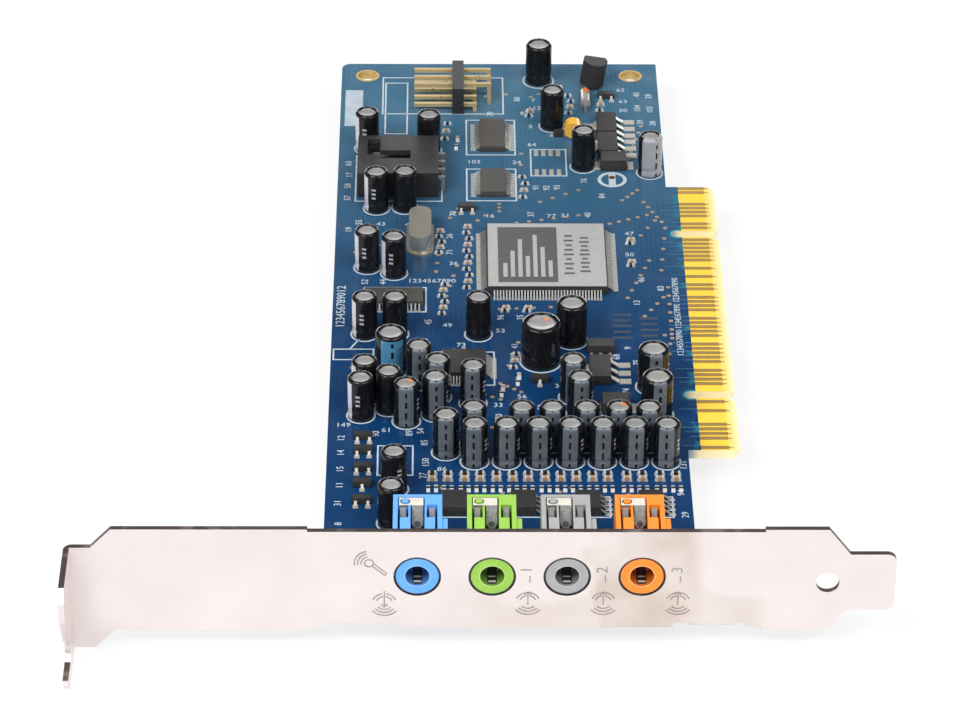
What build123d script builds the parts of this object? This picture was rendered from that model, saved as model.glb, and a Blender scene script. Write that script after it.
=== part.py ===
from build123d import *
import math
import os

# PCI sound card of low height with a full-height bracket. All sizes are in millimetres.
# The card lies flat, component face up. The origin is at the tip of the edge connector,
# level with contact 1, in the component face. -X runs across the board to its top edge,
# +Y runs along the connector away from the bracket, +Z stands up from the components.

# Board
card_height = 64.41
tongue_length = 8.2
board_length = 160.94
board_thickness = 1.57
board_corner_radius = 1.6
board_to_bracket_gap = 0.2
tongue_near_margin = 0.7
tongue_end = 78.0
tongue_corner_chamfer = 1.0
tip_bevel_length = 1.2
tip_bevel_depth = 0.4
corner_hole_diameter = 3.6
corner_hole_top_offset = 4.6
corner_hole_connector_offset = 4.7
corner_hole_end_offset = 4.3

# Edge contacts
contact_pitch = 1.27
contact_width = 0.85
contact_length = 4.45
contact_tip_margin = 1.75
contact_thickness = 0.05
contact_numbers = [1, 3, 4, 5, 6, 9, 11, 15, 16, 17, 18, 20, 21, 22, 23, 24, 26, 27, 28, 29, 30, 32, 33,
                   34, 35, 37, 38, 40, 42, 44, 45, 46, 47, 48, 49, 52, 53, 55, 56, 57, 58, 61, 62]
key_places = [12.5, 50.5]
key_width = 1.9
key_depth = 7.9
key_flare = 0.6

# Bracket
bracket_face = -41.6
bracket_thickness = 0.86
blade_top = 13.94
blade_bottom = -3.42
blade_step = 0.42
blade_bottom_step = 0.58
blade_step_top_reach = 1.75
blade_step_foot_reach = 0.7
foot_shoulder_reach = 10.0
foot_shoulder_run = 3.35
foot_reach = 20.14
foot_top = 9.9
foot_bottom = -0.2
foot_corner_radius = 1.4
foot_hole_diameter = 3.46
foot_hole_reach = 10.18
foot_hole_height = 4.79
neck_reach = 30.4
neck_run = 3.1
screw_tab_reach = 37.4
screw_tab_top = 11.05
screw_tab_bottom = -7.18
screw_tab_depth = 11.43
screw_tab_corner = 1.6
screw_tab_bend_radius = 1.3
slot_radius = 2.21
slot_depth = 3.5
slot_height = -2.4
slot_lead_in_height = 6.0
board_tab_width = 6.8
board_tab_length = 9.6
board_tab_drop = 0.13
board_tab_bend_radius = 1.1
board_tab_joggle_start = 2.4
board_tab_joggle_run = 1.4
top_tab_offset = 5.55
connector_tab_offset = 57.77
relief_height = 0.82
relief_widths = [(1.47, 2.34), (2.34, 1.51)]
relief_corner_radius = 0.6
bracket_screw_diameter = 2.9
bracket_screw_head_diameter = 5.4
bracket_screw_head_height = 1.9
bracket_screw_clearance = 0.15
bracket_screw_thread_clearance = 0.05
bracket_screw_tip = 0.9
bracket_screw_inset = 5.6

# Jacks
jack_names = ["blue", "green", "grey", "orange"]
jack_first_offset = 14.28
jack_pitch = 11.0
jack_axis_height = 5.85
jack_bore_diameter = 3.6
jack_nose_diameter = 6.6
jack_nose_clearance = 0.2
jack_nose_recess = 0.1
jack_width = 7.3
jack_length = 13.7
jack_height = 10.2
jack_front_gap = 0.1
jack_front_wall = 2.6
jack_rear_wall = 0.6
jack_side_wall = 0.7
jack_side_channel = 1.6
jack_side_channel_depth = 4.2
jack_side_channel_length = 3.2
jack_side_gap = 0.35
jack_side_gap_depth = 2.5
jack_rear_step = 0.45
jack_rear_step_length = 2.6
jack_boss_diameter = 1.1
jack_boss_inset = 1.1
jack_lug = 0.8
jack_lug_length = 8.0
jack_lug_height = 9.9
spring_width = 1.7
spring_clearance = 0.2
spring_thickness = 0.35
spring_dip = 0.2
spring_end_inset = 5.9
spring_end_corner = 0.5
leaf_thickness = 0.3
leaf_margin = 0.35
leaf_top_drop = 0.3
leaf_fall = 1.0
leaf_reach = 1.0
jack_pin_inset = 1.2

# Through-hole solder joints on the lower face
joint_base = 1.7
joint_tip = 0.7
joint_height = 1.15

# Wound capacitors
can_flat_count = 14
can_diameter_4 = 4.1
can_height_4 = 7.5
can_diameter_5 = 5.0
can_height_5 = 7.5
can_diameter_6 = 6.3
can_height_6 = 7.7
header_can_diameter = 4.6
header_can_height = 7.6
nonpolar_can_height = 7.4

# Flat chip packages
package_standoff = 0.1
body_draft = 8.0
lead_thickness = 0.15
lead_knee_share = 0.45
processor_size = 20.0
processor_height = 1.5
processor_lead_reach = 1.0
processor_leads_per_side = 36
codec_size = 7.0
codec_height = 1.5
codec_lead_reach = 1.0
codec_leads_per_side = 12
quad_lead_pitch = 0.5
quad_lead_width = 0.22
converter_width = 4.4
converter_height = 1.1
converter_lead_reach = 1.0
converter_lead_pitch = 0.65
converter_lead_width = 0.24
op_amp_width = 3.9
op_amp_length = 4.9
op_amp_height = 1.65
op_amp_lead_reach = 1.05
op_amp_lead_pitch = 1.27
op_amp_lead_width = 0.42

# Power packages and small transistors
regulator_width = 3.5
regulator_length = 6.5
regulator_height = 1.65
regulator_lead_reach = 2.5
regulator_tab_reach = 1.6
regulator_lead_pitch = 2.3
regulator_lead_width = 0.95
regulator_tab_width = 3.0
reference_length = 4.5
reference_width = 2.5
reference_height = 1.5
reference_lead_pitch = 1.5
reference_lead_width = 0.45
reference_lead_reach = 1.1
transistor_length = 2.9
transistor_width = 1.3
transistor_height = 1.05
transistor_lead_pitch = 1.9
transistor_lead_width = 0.42
transistor_lead_reach = 0.6
power_diode_length = 4.5
power_diode_width = 3.5
power_diode_height = 2.06
power_diode_terminal_reach = 0.45
power_diode_terminal_width = 2.1
signal_diode_length = 1.7
signal_diode_width = 1.3
signal_diode_height = 1.0
standing_diameter = 4.3
standing_flat_offset = 1.25
standing_height = 4.6
standing_standoff = 0.8
standing_lead_pitch = 1.27
standing_lean = 9.0
wire_diameter = 0.5
glass_diameter = 1.7
glass_length = 4.0
glass_lead_span = 6.4
glass_axis_height = 1.15
dipped_diameter = 3.0
dipped_thickness = 2.2
dipped_standoff = 0.3
dipped_lead_pitch = 2.0

# Crystal
crystal_length = 10.2
crystal_width = 3.7
crystal_height = 3.5
crystal_flange = 0.45
crystal_flange_thickness = 0.45
crystal_pin_pitch = 4.9

# Four-way audio connector lying on the board
aux_length = 13.8
aux_width = 12.6
aux_height = 4.8
aux_wall = 0.9
aux_floor_length = 9.3
aux_window_start = 3.8
aux_window_end = 9.0
aux_window_width = 2.6
aux_key_start = 1.6
aux_key_width = 5.0
aux_pin_pitch = 2.54
aux_pin_size = 0.64
aux_pin_reach = 0.8
aux_pin_tip_margin = 2.5

# Right-angle pin header
header_pitch = 2.54
header_column_count = 4
header_pin_size = 0.64
header_strip_width = 2.0
header_strip_height = 5.08
header_pin_left = 6.7
header_lower_bend = 1.96
header_upper_bend = 4.5

# Chip resistors and capacitors
chip_length = 1.6
chip_width = 0.8
chip_capacitor_height = 0.75
chip_resistor_height = 0.5
chip_row_pitch = 1.5

# Places on the board
# Each place is counted from the top edge and from the bracket end, in steps of the layout,
# which are a millimetre each on this board and stretch with it.
layout_steps = (56.21, 160.94)

front_row_start = 22.95
front_row_pitch = 4.95
front_row_line = 36.64
front_row_count = 7
second_row_places = [(18.5, 39.09), (22.8, 41.29), (30.33, 41.19), (35.04, 41.19), (40.33, 41.19),
                     (45.37, 41.19), (50.03, 41.19)]
can_4_places = [(5.5, 92.74), (9.95, 90.94), (6.8, 111.44), (11.6, 111.74), (4.95, 131.34), (15.6, 130.54),
                (37.1, 139.04), (42.2, 125.24), (53.6, 123.24), (5.4, 72.64), (10.3, 72.64), (23.8, 72.54),
                (14.2, 58.44), (17.2, 54.44), (5.7, 54.04), (9.5, 51.14), (5.15, 49.24), (12.3, 47.64),
                (16.85, 49.59), (22.8, 52.74), (38.6, 54.44), (39.6, 49.54), (10.2, 20.34)]
can_5_places = [(38.8, 70.74), (9.75, 62.14), (51.4, 57.44), (51.7, 49.59)]
can_6_place = (33.75, 64.74)
header_can_place = (35.05, 154.94)
nonpolar_can_place = (10.55, 29.24)
processor_place = (35.27, 94.44)
codec_place = (21.5, 62.64)
converter_places = [(26.65, 134.99), (26.65, 119.04), (9.95, 82.84)]
converter_lengths = [9.7, 7.8, 9.7]
converter_lead_counts = [14, 12, 14]
converter_turns = [0, 0, 90]
op_amp_offsets = [19.8, 30.3, 40.2, 49.8]
op_amp_line = 24.59
regulator_places = [(46.65, 137.94), (46.65, 131.24), (43.15, 61.14)]
reference_place = (43.45, 68.09)
two_lead_places = [(5.65, 43.04), (5.65, 39.24), (5.65, 34.64), (22.1, 111.14), (46.9, 149.04)]
one_lead_places = [(5.65, 30.34), (33.5, 59.04)]
four_lead_place = (5.65, 25.94)
power_diode_places = [(47.45, 125.49), (45.3, 51.24)]
signal_diode_place = (38.2, 135.84)
standing_place = (44.3, 153.04)
glass_place = (43.2, 146.94)
dipped_place = (40.7, 135.44)
crystal_place = (14.25, 101.54)
aux_place = (3.5, 121.34)
header_place = (20.7, 148.2)
chip_columns = [16.4, 18.8, 21.4, 23.8, 26.3, 28.8, 31.2, 33.8, 36.2, 38.6, 41.1, 43.5, 46.4, 48.8,
                51.5, 54.0]
chip_row_line = 33.24

# Worked out from the sizes above
top_edge = -card_height
shoulder_edge = -tongue_length
bracket_inner = bracket_face + bracket_thickness
board_near = bracket_inner + board_to_bracket_gap
board_far = board_near + board_length
lower_face = -board_thickness
step_across = (card_height - tongue_length) / layout_steps[0]
step_along = board_length / layout_steps[1]
jack_lines = [top_edge + jack_first_offset + jack_pitch * i for i in range(len(jack_names))]
tab_low = blade_bottom - board_tab_drop
bracket_screw_place = (top_edge + top_tab_offset, board_near + bracket_screw_inset - board_to_bracket_gap)


def across(offset):
    """X of a place counted from the top edge."""
    return top_edge + offset * step_across


def along(distance):
    """Y of a place counted from the bracket end."""
    return board_near + distance * step_along


def at(place, z=0.0):
    return Pos(across(place[0]), along(place[1]), z)


def block(x0, x1, y0, y1, z0, z1):
    """Rectangular solid between two opposite corners."""
    return Pos((x0 + x1) / 2, (y0 + y1) / 2, (z0 + z1) / 2) * Box(x1 - x0, y1 - y0, z1 - z0)


def drum(diameter, height, z=0.0):
    """Upright cylinder that stands on height z."""
    return Pos(0, 0, z + height / 2) * Cylinder(diameter / 2, height)


def rod_along(diameter, y0, y1, x, z):
    """Cylinder along Y between two distances."""
    return Pos(x, (y0 + y1) / 2, z) * Rot(90, 0, 0) * Cylinder(diameter / 2, y1 - y0)


def strip_side(points, width):
    """Solid of an outline in X and Z, with its width centred on Y."""
    face = Plane.XZ * make_face(Polyline(*points, close=True))
    return extrude(face, width / 2, both=True)


def strip_edge(points, width):
    """Solid of an outline in Y and Z, with its width centred on X."""
    face = Plane.YZ * make_face(Polyline(*points, close=True))
    return extrude(face, width / 2, both=True)


def save(name, *pieces):
    """Write all solids of one node."""
    solids = [solid for piece in pieces for solid in piece.solids()]
    export_step(Compound(solids), f"parts/{name}.step")


# Circuit board
def key_mouth(y):
    """Flare of a key slot at the tip of the tongue."""
    half = key_width / 2
    wide = half + key_flare
    outline = make_face(Polyline((0, y - wide), (0, y + wide), (-key_flare, y + half), (-key_flare, y - half),
                                 close=True))
    return extrude(Pos(0, 0, lower_face) * outline, board_thickness)


def circuit_board():
    main = block(top_edge, shoulder_edge, board_near, board_far, lower_face, 0)
    far_corner = main.edges().filter_by(Axis.Z).sort_by(Axis.Y)[-2:].sort_by(Axis.X)[0]
    main = fillet(far_corner, board_corner_radius)
    tongue_near = -tongue_near_margin
    tongue = block(shoulder_edge, 0, tongue_near, tongue_end, lower_face, 0)
    tongue = chamfer(tongue.edges().filter_by(Axis.Z).sort_by(Axis.X)[-2:], tongue_corner_chamfer)
    tip = strip_side([(-tip_bevel_length, 0), (tip_bevel_depth, 0), (tip_bevel_depth, -tip_bevel_depth),
                      (0, -tip_bevel_depth)], 2 * board_length)
    board = main + tongue - tip - Pos(0, 0, lower_face) * mirror(tip, Plane.XY)
    for place in key_places:
        y = (place - 1) * contact_pitch
        straight = key_depth - key_width / 2
        key = block(-straight, key_width, y - key_width / 2, y + key_width / 2, lower_face, 0)
        key += Pos(-straight, y, 0) * drum(key_width, board_thickness, lower_face)
        board -= key + key_mouth(y)
    for x in (top_edge + corner_hole_top_offset, shoulder_edge - corner_hole_connector_offset):
        board -= Pos(x, board_far - corner_hole_end_offset) * drum(
            corner_hole_diameter, board_thickness, lower_face)
    board -= Pos(*bracket_screw_place) * drum(
        bracket_screw_diameter + 2 * bracket_screw_clearance, board_thickness, lower_face)
    return board


# Gold contacts, plated on both faces of the tongue
def edge_contacts(z):
    x1 = -contact_tip_margin
    contact = block(x1 - contact_length, x1, -contact_width / 2, contact_width / 2, z, z + contact_thickness)
    return [Pos(0, (number - 1) * contact_pitch, 0) * contact for number in contact_numbers]


# Bracket, one folded sheet
def bracket_blade():
    x_tab = top_edge - screw_tab_reach
    x_neck = top_edge - neck_reach
    x_mid = top_edge - blade_step_top_reach
    x_mid_end = blade_step_foot_reach
    end_top = blade_top + blade_step
    end_bottom = blade_bottom - blade_bottom_step
    x_foot = foot_shoulder_reach + foot_shoulder_run
    outline = [(x_tab, screw_tab_top), (x_neck - neck_run, screw_tab_top), (x_neck, end_top),
               (x_mid, end_top), (x_mid, blade_top), (x_mid_end, blade_top), (x_mid_end, end_top),
               (foot_shoulder_reach, end_top), (x_foot, foot_top), (foot_reach, foot_top),
               (foot_reach, foot_bottom), (x_foot, foot_bottom), (foot_shoulder_reach, end_bottom),
               (x_mid_end, end_bottom), (x_mid_end, blade_bottom), (x_mid, blade_bottom),
               (x_mid, end_bottom), (x_neck, end_bottom), (x_neck - neck_run, screw_tab_bottom),
               (x_tab, screw_tab_bottom)]
    sheet = make_face(Polyline(*outline, close=True))
    foot_corners = sheet.vertices().sort_by(Axis.X)[-2:]
    sheet = fillet(foot_corners, foot_corner_radius)
    sheet -= Pos(foot_hole_reach, foot_hole_height) * Circle(foot_hole_diameter / 2)
    for x in jack_lines:
        sheet -= Pos(x, jack_axis_height) * Circle(jack_nose_diameter / 2 + jack_nose_clearance)
    for x0, x1 in relief_cuts():
        sheet -= Pos((x0 + x1) / 2, blade_bottom) * RectangleRounded(
            x1 - x0, 2 * relief_height, relief_corner_radius)
    return extrude(Plane(origin=(0, bracket_inner, 0), x_dir=(1, 0, 0), z_dir=(0, -1, 0)) * sheet,
                   bracket_thickness)


def board_tab_centres():
    return [top_edge + top_tab_offset, top_edge + connector_tab_offset]


def relief_cuts():
    """Start and end of the cut round each board tab, with a relief slot on both sides."""
    half = board_tab_width / 2
    return [(centre - half - left, centre + half + right)
            for centre, (left, right) in zip(board_tab_centres(), relief_widths)]


def board_tab(centre):
    """Tab folded back under the board and joggled up to its lower face."""
    inner_radius = board_tab_bend_radius - bracket_thickness
    y_outer = bracket_face
    y_joggle = y_outer + board_tab_joggle_start
    y_seat = y_joggle + board_tab_joggle_run
    y_end = y_outer + board_tab_length
    z_low = tab_low
    z_up = blade_bottom + relief_height + board_tab_bend_radius
    z_under = lower_face - bracket_thickness
    lean = (z_under - z_low) / board_tab_joggle_run
    inner_shift = bracket_thickness * (math.sqrt(1 + lean * lean) - 1) / lean
    points = [(y_outer, z_up), (y_outer, z_low), (y_joggle, z_low), (y_seat, z_under), (y_end, z_under),
              (y_end, lower_face), (y_seat - inner_shift, lower_face),
              (y_joggle - inner_shift, z_low + bracket_thickness),
              (bracket_inner, z_low + bracket_thickness), (bracket_inner, z_up)]
    tab = Pos(centre, 0, 0) * strip_edge(points, board_tab_width)
    bends = tab.edges().filter_by(Axis.X)
    outer_bend = bends.sort_by_distance((centre, y_outer, z_low))[0]
    tab = fillet(outer_bend, board_tab_bend_radius)
    inner_bend = tab.edges().filter_by(Axis.X).sort_by_distance(
        (centre, bracket_inner, z_low + bracket_thickness))[0]
    return fillet(inner_bend, inner_radius)


def screw_tab():
    """Tab at the free end, with an open slot for the case screw."""
    y_front = bracket_face - screw_tab_depth
    y_slot = y_front + slot_depth
    low = slot_height - slot_radius
    high = slot_height + slot_radius
    edge = [
        Polyline((y_slot, high), (y_front, slot_lead_in_height), (y_front, screw_tab_top - screw_tab_corner),
                 (y_front + screw_tab_corner, screw_tab_top), (bracket_inner, screw_tab_top),
                 (bracket_inner, screw_tab_bottom), (y_front + screw_tab_corner, screw_tab_bottom),
                 (y_front, screw_tab_bottom + screw_tab_corner), (y_front, low), (y_slot, low)),
        ThreePointArc((y_slot, low), (y_slot + slot_radius, slot_height), (y_slot, high))]
    face = Plane.YZ * make_face(edge)
    return Pos(top_edge - screw_tab_reach, 0, 0) * extrude(face, bracket_thickness)


def bracket():
    body = bracket_blade() + screw_tab()
    corner = body.edges().filter_by(Axis.Z).sort_by_distance(
        (top_edge - screw_tab_reach, bracket_inner, (screw_tab_top + screw_tab_bottom) / 2))[0]
    body = fillet(corner, screw_tab_bend_radius)
    for centre in board_tab_centres():
        body += board_tab(centre)
    thread_hole = drum(bracket_screw_diameter + 2 * bracket_screw_thread_clearance,
                       2 * bracket_thickness, lower_face - 2 * bracket_thickness)
    return body - Pos(*bracket_screw_place) * thread_hole


def bracket_screw():
    tip = lower_face - bracket_thickness - bracket_screw_tip
    head = drum(bracket_screw_head_diameter, bracket_screw_head_height)
    return Pos(*bracket_screw_place) * (head + drum(bracket_screw_diameter, -tip, tip))


# Audio jack, its housing open at the top over the springs
def jack_boss_place():
    """Centre of the boss that holds the rear plate of the tip spring, from the jack's own axis."""
    y1 = bracket_inner + jack_front_gap + jack_length
    return (jack_side_wall + jack_boss_inset - jack_width / 2,
            y1 - (jack_rear_step_length + jack_rear_wall) / 2)


def jack_housing(x):
    y0 = bracket_inner + jack_front_gap
    y1 = y0 + jack_length
    half = jack_width / 2
    z_axis = jack_axis_height
    body = block(-half, half, y0, y1, 0, jack_height)
    body += block(half, half + jack_lug, y0, y0 + jack_lug_length, 0, jack_lug_height)
    body += rod_along(jack_nose_diameter, bracket_face + jack_nose_recess, y0, 0, z_axis)
    slot = spring_width / 2 + spring_clearance
    front = y0 + jack_front_wall
    rear = y1 - jack_rear_wall
    step_start = y1 - jack_rear_step_length
    body -= block(jack_side_wall - half, slot, step_start, rear, jack_height - jack_rear_step, jack_height)
    body += Pos(*jack_boss_place()) * drum(jack_boss_diameter, jack_rear_step, jack_height - jack_rear_step)
    side_start = step_start - jack_side_channel_length
    side_floor = jack_height - jack_side_channel_depth
    gap_floor = jack_height - jack_side_gap_depth
    for side in (-1, 1):
        outer = side * (half - jack_side_wall)
        inner = outer - side * jack_side_channel
        edge = outer - side * jack_side_gap
        body -= block(min(outer, inner), max(outer, inner), side_start, step_start, side_floor, jack_height)
        body -= block(min(outer, edge), max(outer, edge), front, side_start, gap_floor, jack_height)
    body -= block(-slot, slot, front, rear, z_axis, jack_height)
    body -= block(-slot, slot, rear - spring_thickness - spring_clearance, rear, 0, jack_height)
    bore = jack_bore_diameter / 2
    body -= block(-bore, bore, front, rear, z_axis - bore, z_axis + bore)
    body -= rod_along(jack_bore_diameter, bracket_face, front, 0, z_axis)
    return Pos(x, 0, 0) * body


def jack_springs(x):
    """Tip spring with a plate held at the back, and a leaf that slopes down in each side channel."""
    y0 = bracket_inner + jack_front_gap
    y1 = y0 + jack_length
    half = jack_width / 2
    t = spring_thickness
    y_back = y1 - jack_rear_wall - spring_clearance / 2
    y_flat = y1 - jack_rear_step_length
    y_end = y0 + jack_front_wall + spring_end_inset
    low = jack_height - jack_rear_step
    end_low = jack_axis_height + jack_bore_diameter / 2 - spring_dip
    tip_spring = strip_edge(
        [(y_back, 0), (y_back, low + t), (y_flat, low + t), (y_end, end_low + t), (y_end, end_low),
         (y_flat, low), (y_back - t, low), (y_back - t, 0)], spring_width)
    side = spring_width / 2
    corner = side - spring_end_corner
    plan = make_face(Polyline((-side, y1), (side, y1), (side, y_end + spring_end_corner), (corner, y_end),
                              (-corner, y_end), (-side, y_end + spring_end_corner), close=True))
    tip_spring &= extrude(plan, jack_height)
    plate = block(jack_side_wall + spring_clearance - half, -spring_width / 2, y_flat, y_back, low, low + t)
    hole = drum(jack_boss_diameter + 2 * spring_clearance, t, low)
    tip_spring += plate - Pos(*jack_boss_place()) * hole
    y_leaf = y_flat - leaf_margin
    z_leaf = jack_height - leaf_top_drop
    floor = jack_height - jack_side_channel_depth
    y_turn = y_leaf - leaf_reach
    z_turn = z_leaf - leaf_fall
    leaf = strip_edge([(y_leaf, z_leaf), (y_turn, z_turn), (y_turn, floor), (y_turn + leaf_thickness, floor),
                       (y_turn + leaf_thickness, z_turn - leaf_thickness),
                       (y_leaf, z_leaf - leaf_thickness - leaf_thickness * leaf_fall / leaf_reach)],
                      jack_side_channel - 2 * leaf_margin)
    middle = half - jack_side_wall - jack_side_channel / 2
    leaves = [Pos(hand * middle, 0, 0) * leaf for hand in (-1, 1)]
    return [Pos(x, 0, 0) * piece for piece in [tip_spring] + leaves]


def jack_pin_places(x):
    y0 = bracket_inner + jack_front_gap
    side = jack_width / 2 - jack_pin_inset
    near = y0 + jack_front_wall + jack_pin_inset
    far = y0 + jack_length - jack_rear_step_length - jack_pin_inset
    places = [(x + s * side, y) for s in (-1, 1) for y in (near, far)]
    return places + [(x, y0 + jack_length - jack_rear_wall - spring_thickness)]


# Solder joints under the through-hole pins
def solder_joints(places):
    foot = joint_base / 2
    tip = joint_tip / 2
    cone = [(-foot, lower_face), (foot, lower_face), (tip, lower_face - joint_height),
            (-tip, lower_face - joint_height)]
    joint = strip_side(cone, joint_base) & strip_edge(cone, joint_base)
    return [Pos(x, y) * joint for x, y in places]


# Flat packages
def package_body(length, width, height):
    """Moulded body with drafted sides above its parting line."""
    middle = package_standoff + (height - package_standoff) / 2
    lower = block(-length / 2, length / 2, -width / 2, width / 2, package_standoff, middle)
    upper = extrude(Pos(0, 0, middle) * Rectangle(length, width), height - middle, taper=body_draft)
    return lower + upper


def gull_lead(start, end, height, width):
    """Lead that leaves a body at start, slants down and ends in a flat foot at end, along X."""
    knee = start + (end - start) * lead_knee_share
    t = lead_thickness
    outline = [(start, height), (start, height + t), (knee + t, t), (end, t), (end, 0), (knee, 0)]
    return strip_side(outline, width)


def fine_lead(start, end, height, width):
    """Fine lead, one slanting bar from the body to its foot."""
    t = lead_thickness
    return strip_side([(start, height), (start, height + t), (end, t), (end, 0)], width)


def lead_row(lead, count, pitch):
    first = -pitch * (count - 1) / 2
    return [Pos(0, first + pitch * i, 0) * lead for i in range(count)]


def quad_leads(size, reach, height, count):
    lead = fine_lead(size / 2, size / 2 + reach, height / 2, quad_lead_width)
    row = lead_row(lead, count, quad_lead_pitch)
    return [Rot(0, 0, 90 * side) * piece for side in range(4) for piece in row]


def twin_leads(row):
    return row + [Rot(0, 0, 180) * piece for piece in row]


def processor():
    spot = at(processor_place)
    leads = quad_leads(processor_size, processor_lead_reach, processor_height, processor_leads_per_side)
    save("processor_body", spot * package_body(processor_size, processor_size, processor_height))
    save("processor_leads", *[spot * lead for lead in leads])


def codec():
    spot = at(codec_place)
    leads = quad_leads(codec_size, codec_lead_reach, codec_height, codec_leads_per_side)
    save("codec_body", spot * package_body(codec_size, codec_size, codec_height))
    save("codec_leads", *[spot * lead for lead in leads])


def converters():
    bodies = []
    leads = []
    half = converter_width / 2
    lead = fine_lead(half, half + converter_lead_reach, converter_height / 2, converter_lead_width)
    kinds = zip(converter_places, converter_lengths, converter_lead_counts, converter_turns)
    for place, length, count, turn in kinds:
        spot = at(place) * Rot(0, 0, turn)
        bodies.append(spot * package_body(converter_width, length, converter_height))
        leads += [spot * piece for piece in twin_leads(lead_row(lead, count, converter_lead_pitch))]
    save("converter_bodies", *bodies)
    save("converter_leads", *leads)


def op_amps():
    bodies = []
    leads = []
    half = op_amp_width / 2
    lead = fine_lead(half, half + op_amp_lead_reach, op_amp_height / 2, op_amp_lead_width)
    for offset in op_amp_offsets:
        spot = at((offset, op_amp_line))
        bodies.append(spot * package_body(op_amp_width, op_amp_length, op_amp_height))
        leads += [spot * piece for piece in twin_leads(lead_row(lead, 4, op_amp_lead_pitch))]
    save("op_amp_bodies", *bodies)
    save("op_amp_leads", *leads)


def regulators():
    bodies = []
    leads = []
    half = regulator_width / 2
    height = regulator_height / 2
    lead = gull_lead(half, half + regulator_lead_reach, height, regulator_lead_width)
    tab = Rot(0, 0, 180) * gull_lead(half, half + regulator_tab_reach, height, regulator_tab_width)
    for place in regulator_places:
        spot = at(place)
        bodies.append(spot * package_body(regulator_width, regulator_length, regulator_height))
        leads += [spot * piece for piece in lead_row(lead, 3, regulator_lead_pitch) + [tab]]
    save("regulator_bodies", *bodies)
    save("regulator_leads", *leads)


def reference():
    spot = at(reference_place) * Rot(0, 0, -90)
    half = reference_width / 2
    lead = gull_lead(half, half + reference_lead_reach, package_standoff, reference_lead_width)
    save("reference_body", spot * package_body(reference_width, reference_length, reference_height))
    save("reference_leads", *[spot * piece for piece in lead_row(lead, 3, reference_lead_pitch)])


def transistors():
    bodies = []
    leads = []
    half = transistor_width / 2
    lead = fine_lead(half, half + transistor_lead_reach, transistor_height / 2, transistor_lead_width)
    pair = lead_row(lead, 2, transistor_lead_pitch)
    turned_pair = [Rot(0, 0, 180) * piece for piece in pair]
    single = Rot(0, 0, 180) * lead
    kinds = [(place, pair + [single]) for place in two_lead_places]
    kinds += [(place, turned_pair + [lead]) for place in one_lead_places]
    kinds.append((four_lead_place, pair + turned_pair))
    for place, legs in kinds:
        spot = at(place) * Rot(0, 0, -90)
        bodies.append(spot * package_body(transistor_width, transistor_length, transistor_height))
        leads += [spot * leg for leg in legs]
    save("transistor_bodies", *bodies)
    save("transistor_leads", *leads)


def diodes():
    bodies = []
    ends = []
    half = power_diode_length / 2
    reach = half + power_diode_terminal_reach
    end = gull_lead(half, reach, power_diode_height / 2, power_diode_terminal_width)
    for place in power_diode_places:
        spot = at(place)
        bodies.append(spot * package_body(power_diode_length, power_diode_width, power_diode_height))
        ends += [spot * end, spot * Rot(0, 0, 180) * end]
    save("power_diode_bodies", *bodies)
    save("power_diode_terminals", *ends)
    save("signal_diode", at(signal_diode_place) * package_body(
        signal_diode_length, signal_diode_width, signal_diode_height))


# Wound capacitors in sealed cans, their round walls drawn as narrow flats because so many stand here
def can(place, diameter, height):
    return at(place) * extrude(RegularPolygon(diameter / 2, can_flat_count), height)


def capacitors():
    front_row = [(front_row_start + front_row_pitch * i, front_row_line) for i in range(front_row_count)]
    small = front_row + second_row_places + can_4_places
    save("capacitors_4mm", *[can(place, can_diameter_4, can_height_4) for place in small])
    save("capacitors_5mm", *[can(place, can_diameter_5, can_height_5) for place in can_5_places])
    save("capacitor_6mm", can(can_6_place, can_diameter_6, can_height_6))
    save("capacitor_by_header", can(header_can_place, header_can_diameter, header_can_height))
    save("capacitor_nonpolar", can(nonpolar_can_place, can_diameter_4, nonpolar_can_height))


# Standing transistor on bent leads, leaning a little
def standing_transistor():
    round_part = Circle(standing_diameter / 2)
    cut_size = 2 * standing_diameter
    cut = Pos(0, standing_flat_offset + cut_size / 2) * Rectangle(cut_size, cut_size)
    spot = at(standing_place) * Rot(0, standing_lean, 0)
    save("standing_transistor_body",
         spot * Pos(0, 0, standing_standoff) * extrude(round_part - cut, standing_height))
    drop = standing_lead_pitch * math.tan(math.radians(standing_lean))
    legs = []
    for step in (-1, 0, 1):
        foot = step * drop + wire_diameter * math.tan(math.radians(standing_lean))
        x = step * standing_lead_pitch
        legs.append(spot * block(x - wire_diameter / 2, x + wire_diameter / 2, -wire_diameter / 2,
                                 wire_diameter / 2, foot, standing_standoff))
    save("standing_transistor_leads", *legs)


def glass_diode():
    x = across(glass_place[0])
    y = along(glass_place[1])
    z = glass_axis_height
    half = glass_length / 2
    reach = glass_lead_span / 2
    w = wire_diameter / 2
    save("glass_diode_body", rod_along(glass_diameter, y - half, y + half, x, z))
    lead = strip_edge([(half, z - w), (half, z + w), (reach + w, z + w), (reach + w, 0), (reach - w, 0),
                       (reach - w, z - w)], wire_diameter)
    save("glass_diode_leads", Pos(x, y) * lead, Pos(x, y) * Rot(0, 0, 180) * lead)


def dipped_capacitor():
    spot = at(dipped_place)
    radius = dipped_diameter / 2
    body = rod_along(dipped_diameter, -dipped_thickness / 2, dipped_thickness / 2, 0, 0)
    raised = Pos(0, 0, dipped_standoff + radius)
    half = dipped_lead_pitch / 2
    rise = radius - math.sqrt(radius ** 2 - half ** 2)
    leg = block(-wire_diameter / 2, wire_diameter / 2, -wire_diameter / 2, wire_diameter / 2, 0,
                dipped_standoff + rise + wire_diameter)
    legs = [Pos(side * half, 0) * leg - raised * body for side in (-1, 1)]
    save("dipped_capacitor_body", spot * raised * body)
    save("dipped_capacitor_leads", *[spot * leg for leg in legs])


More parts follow.
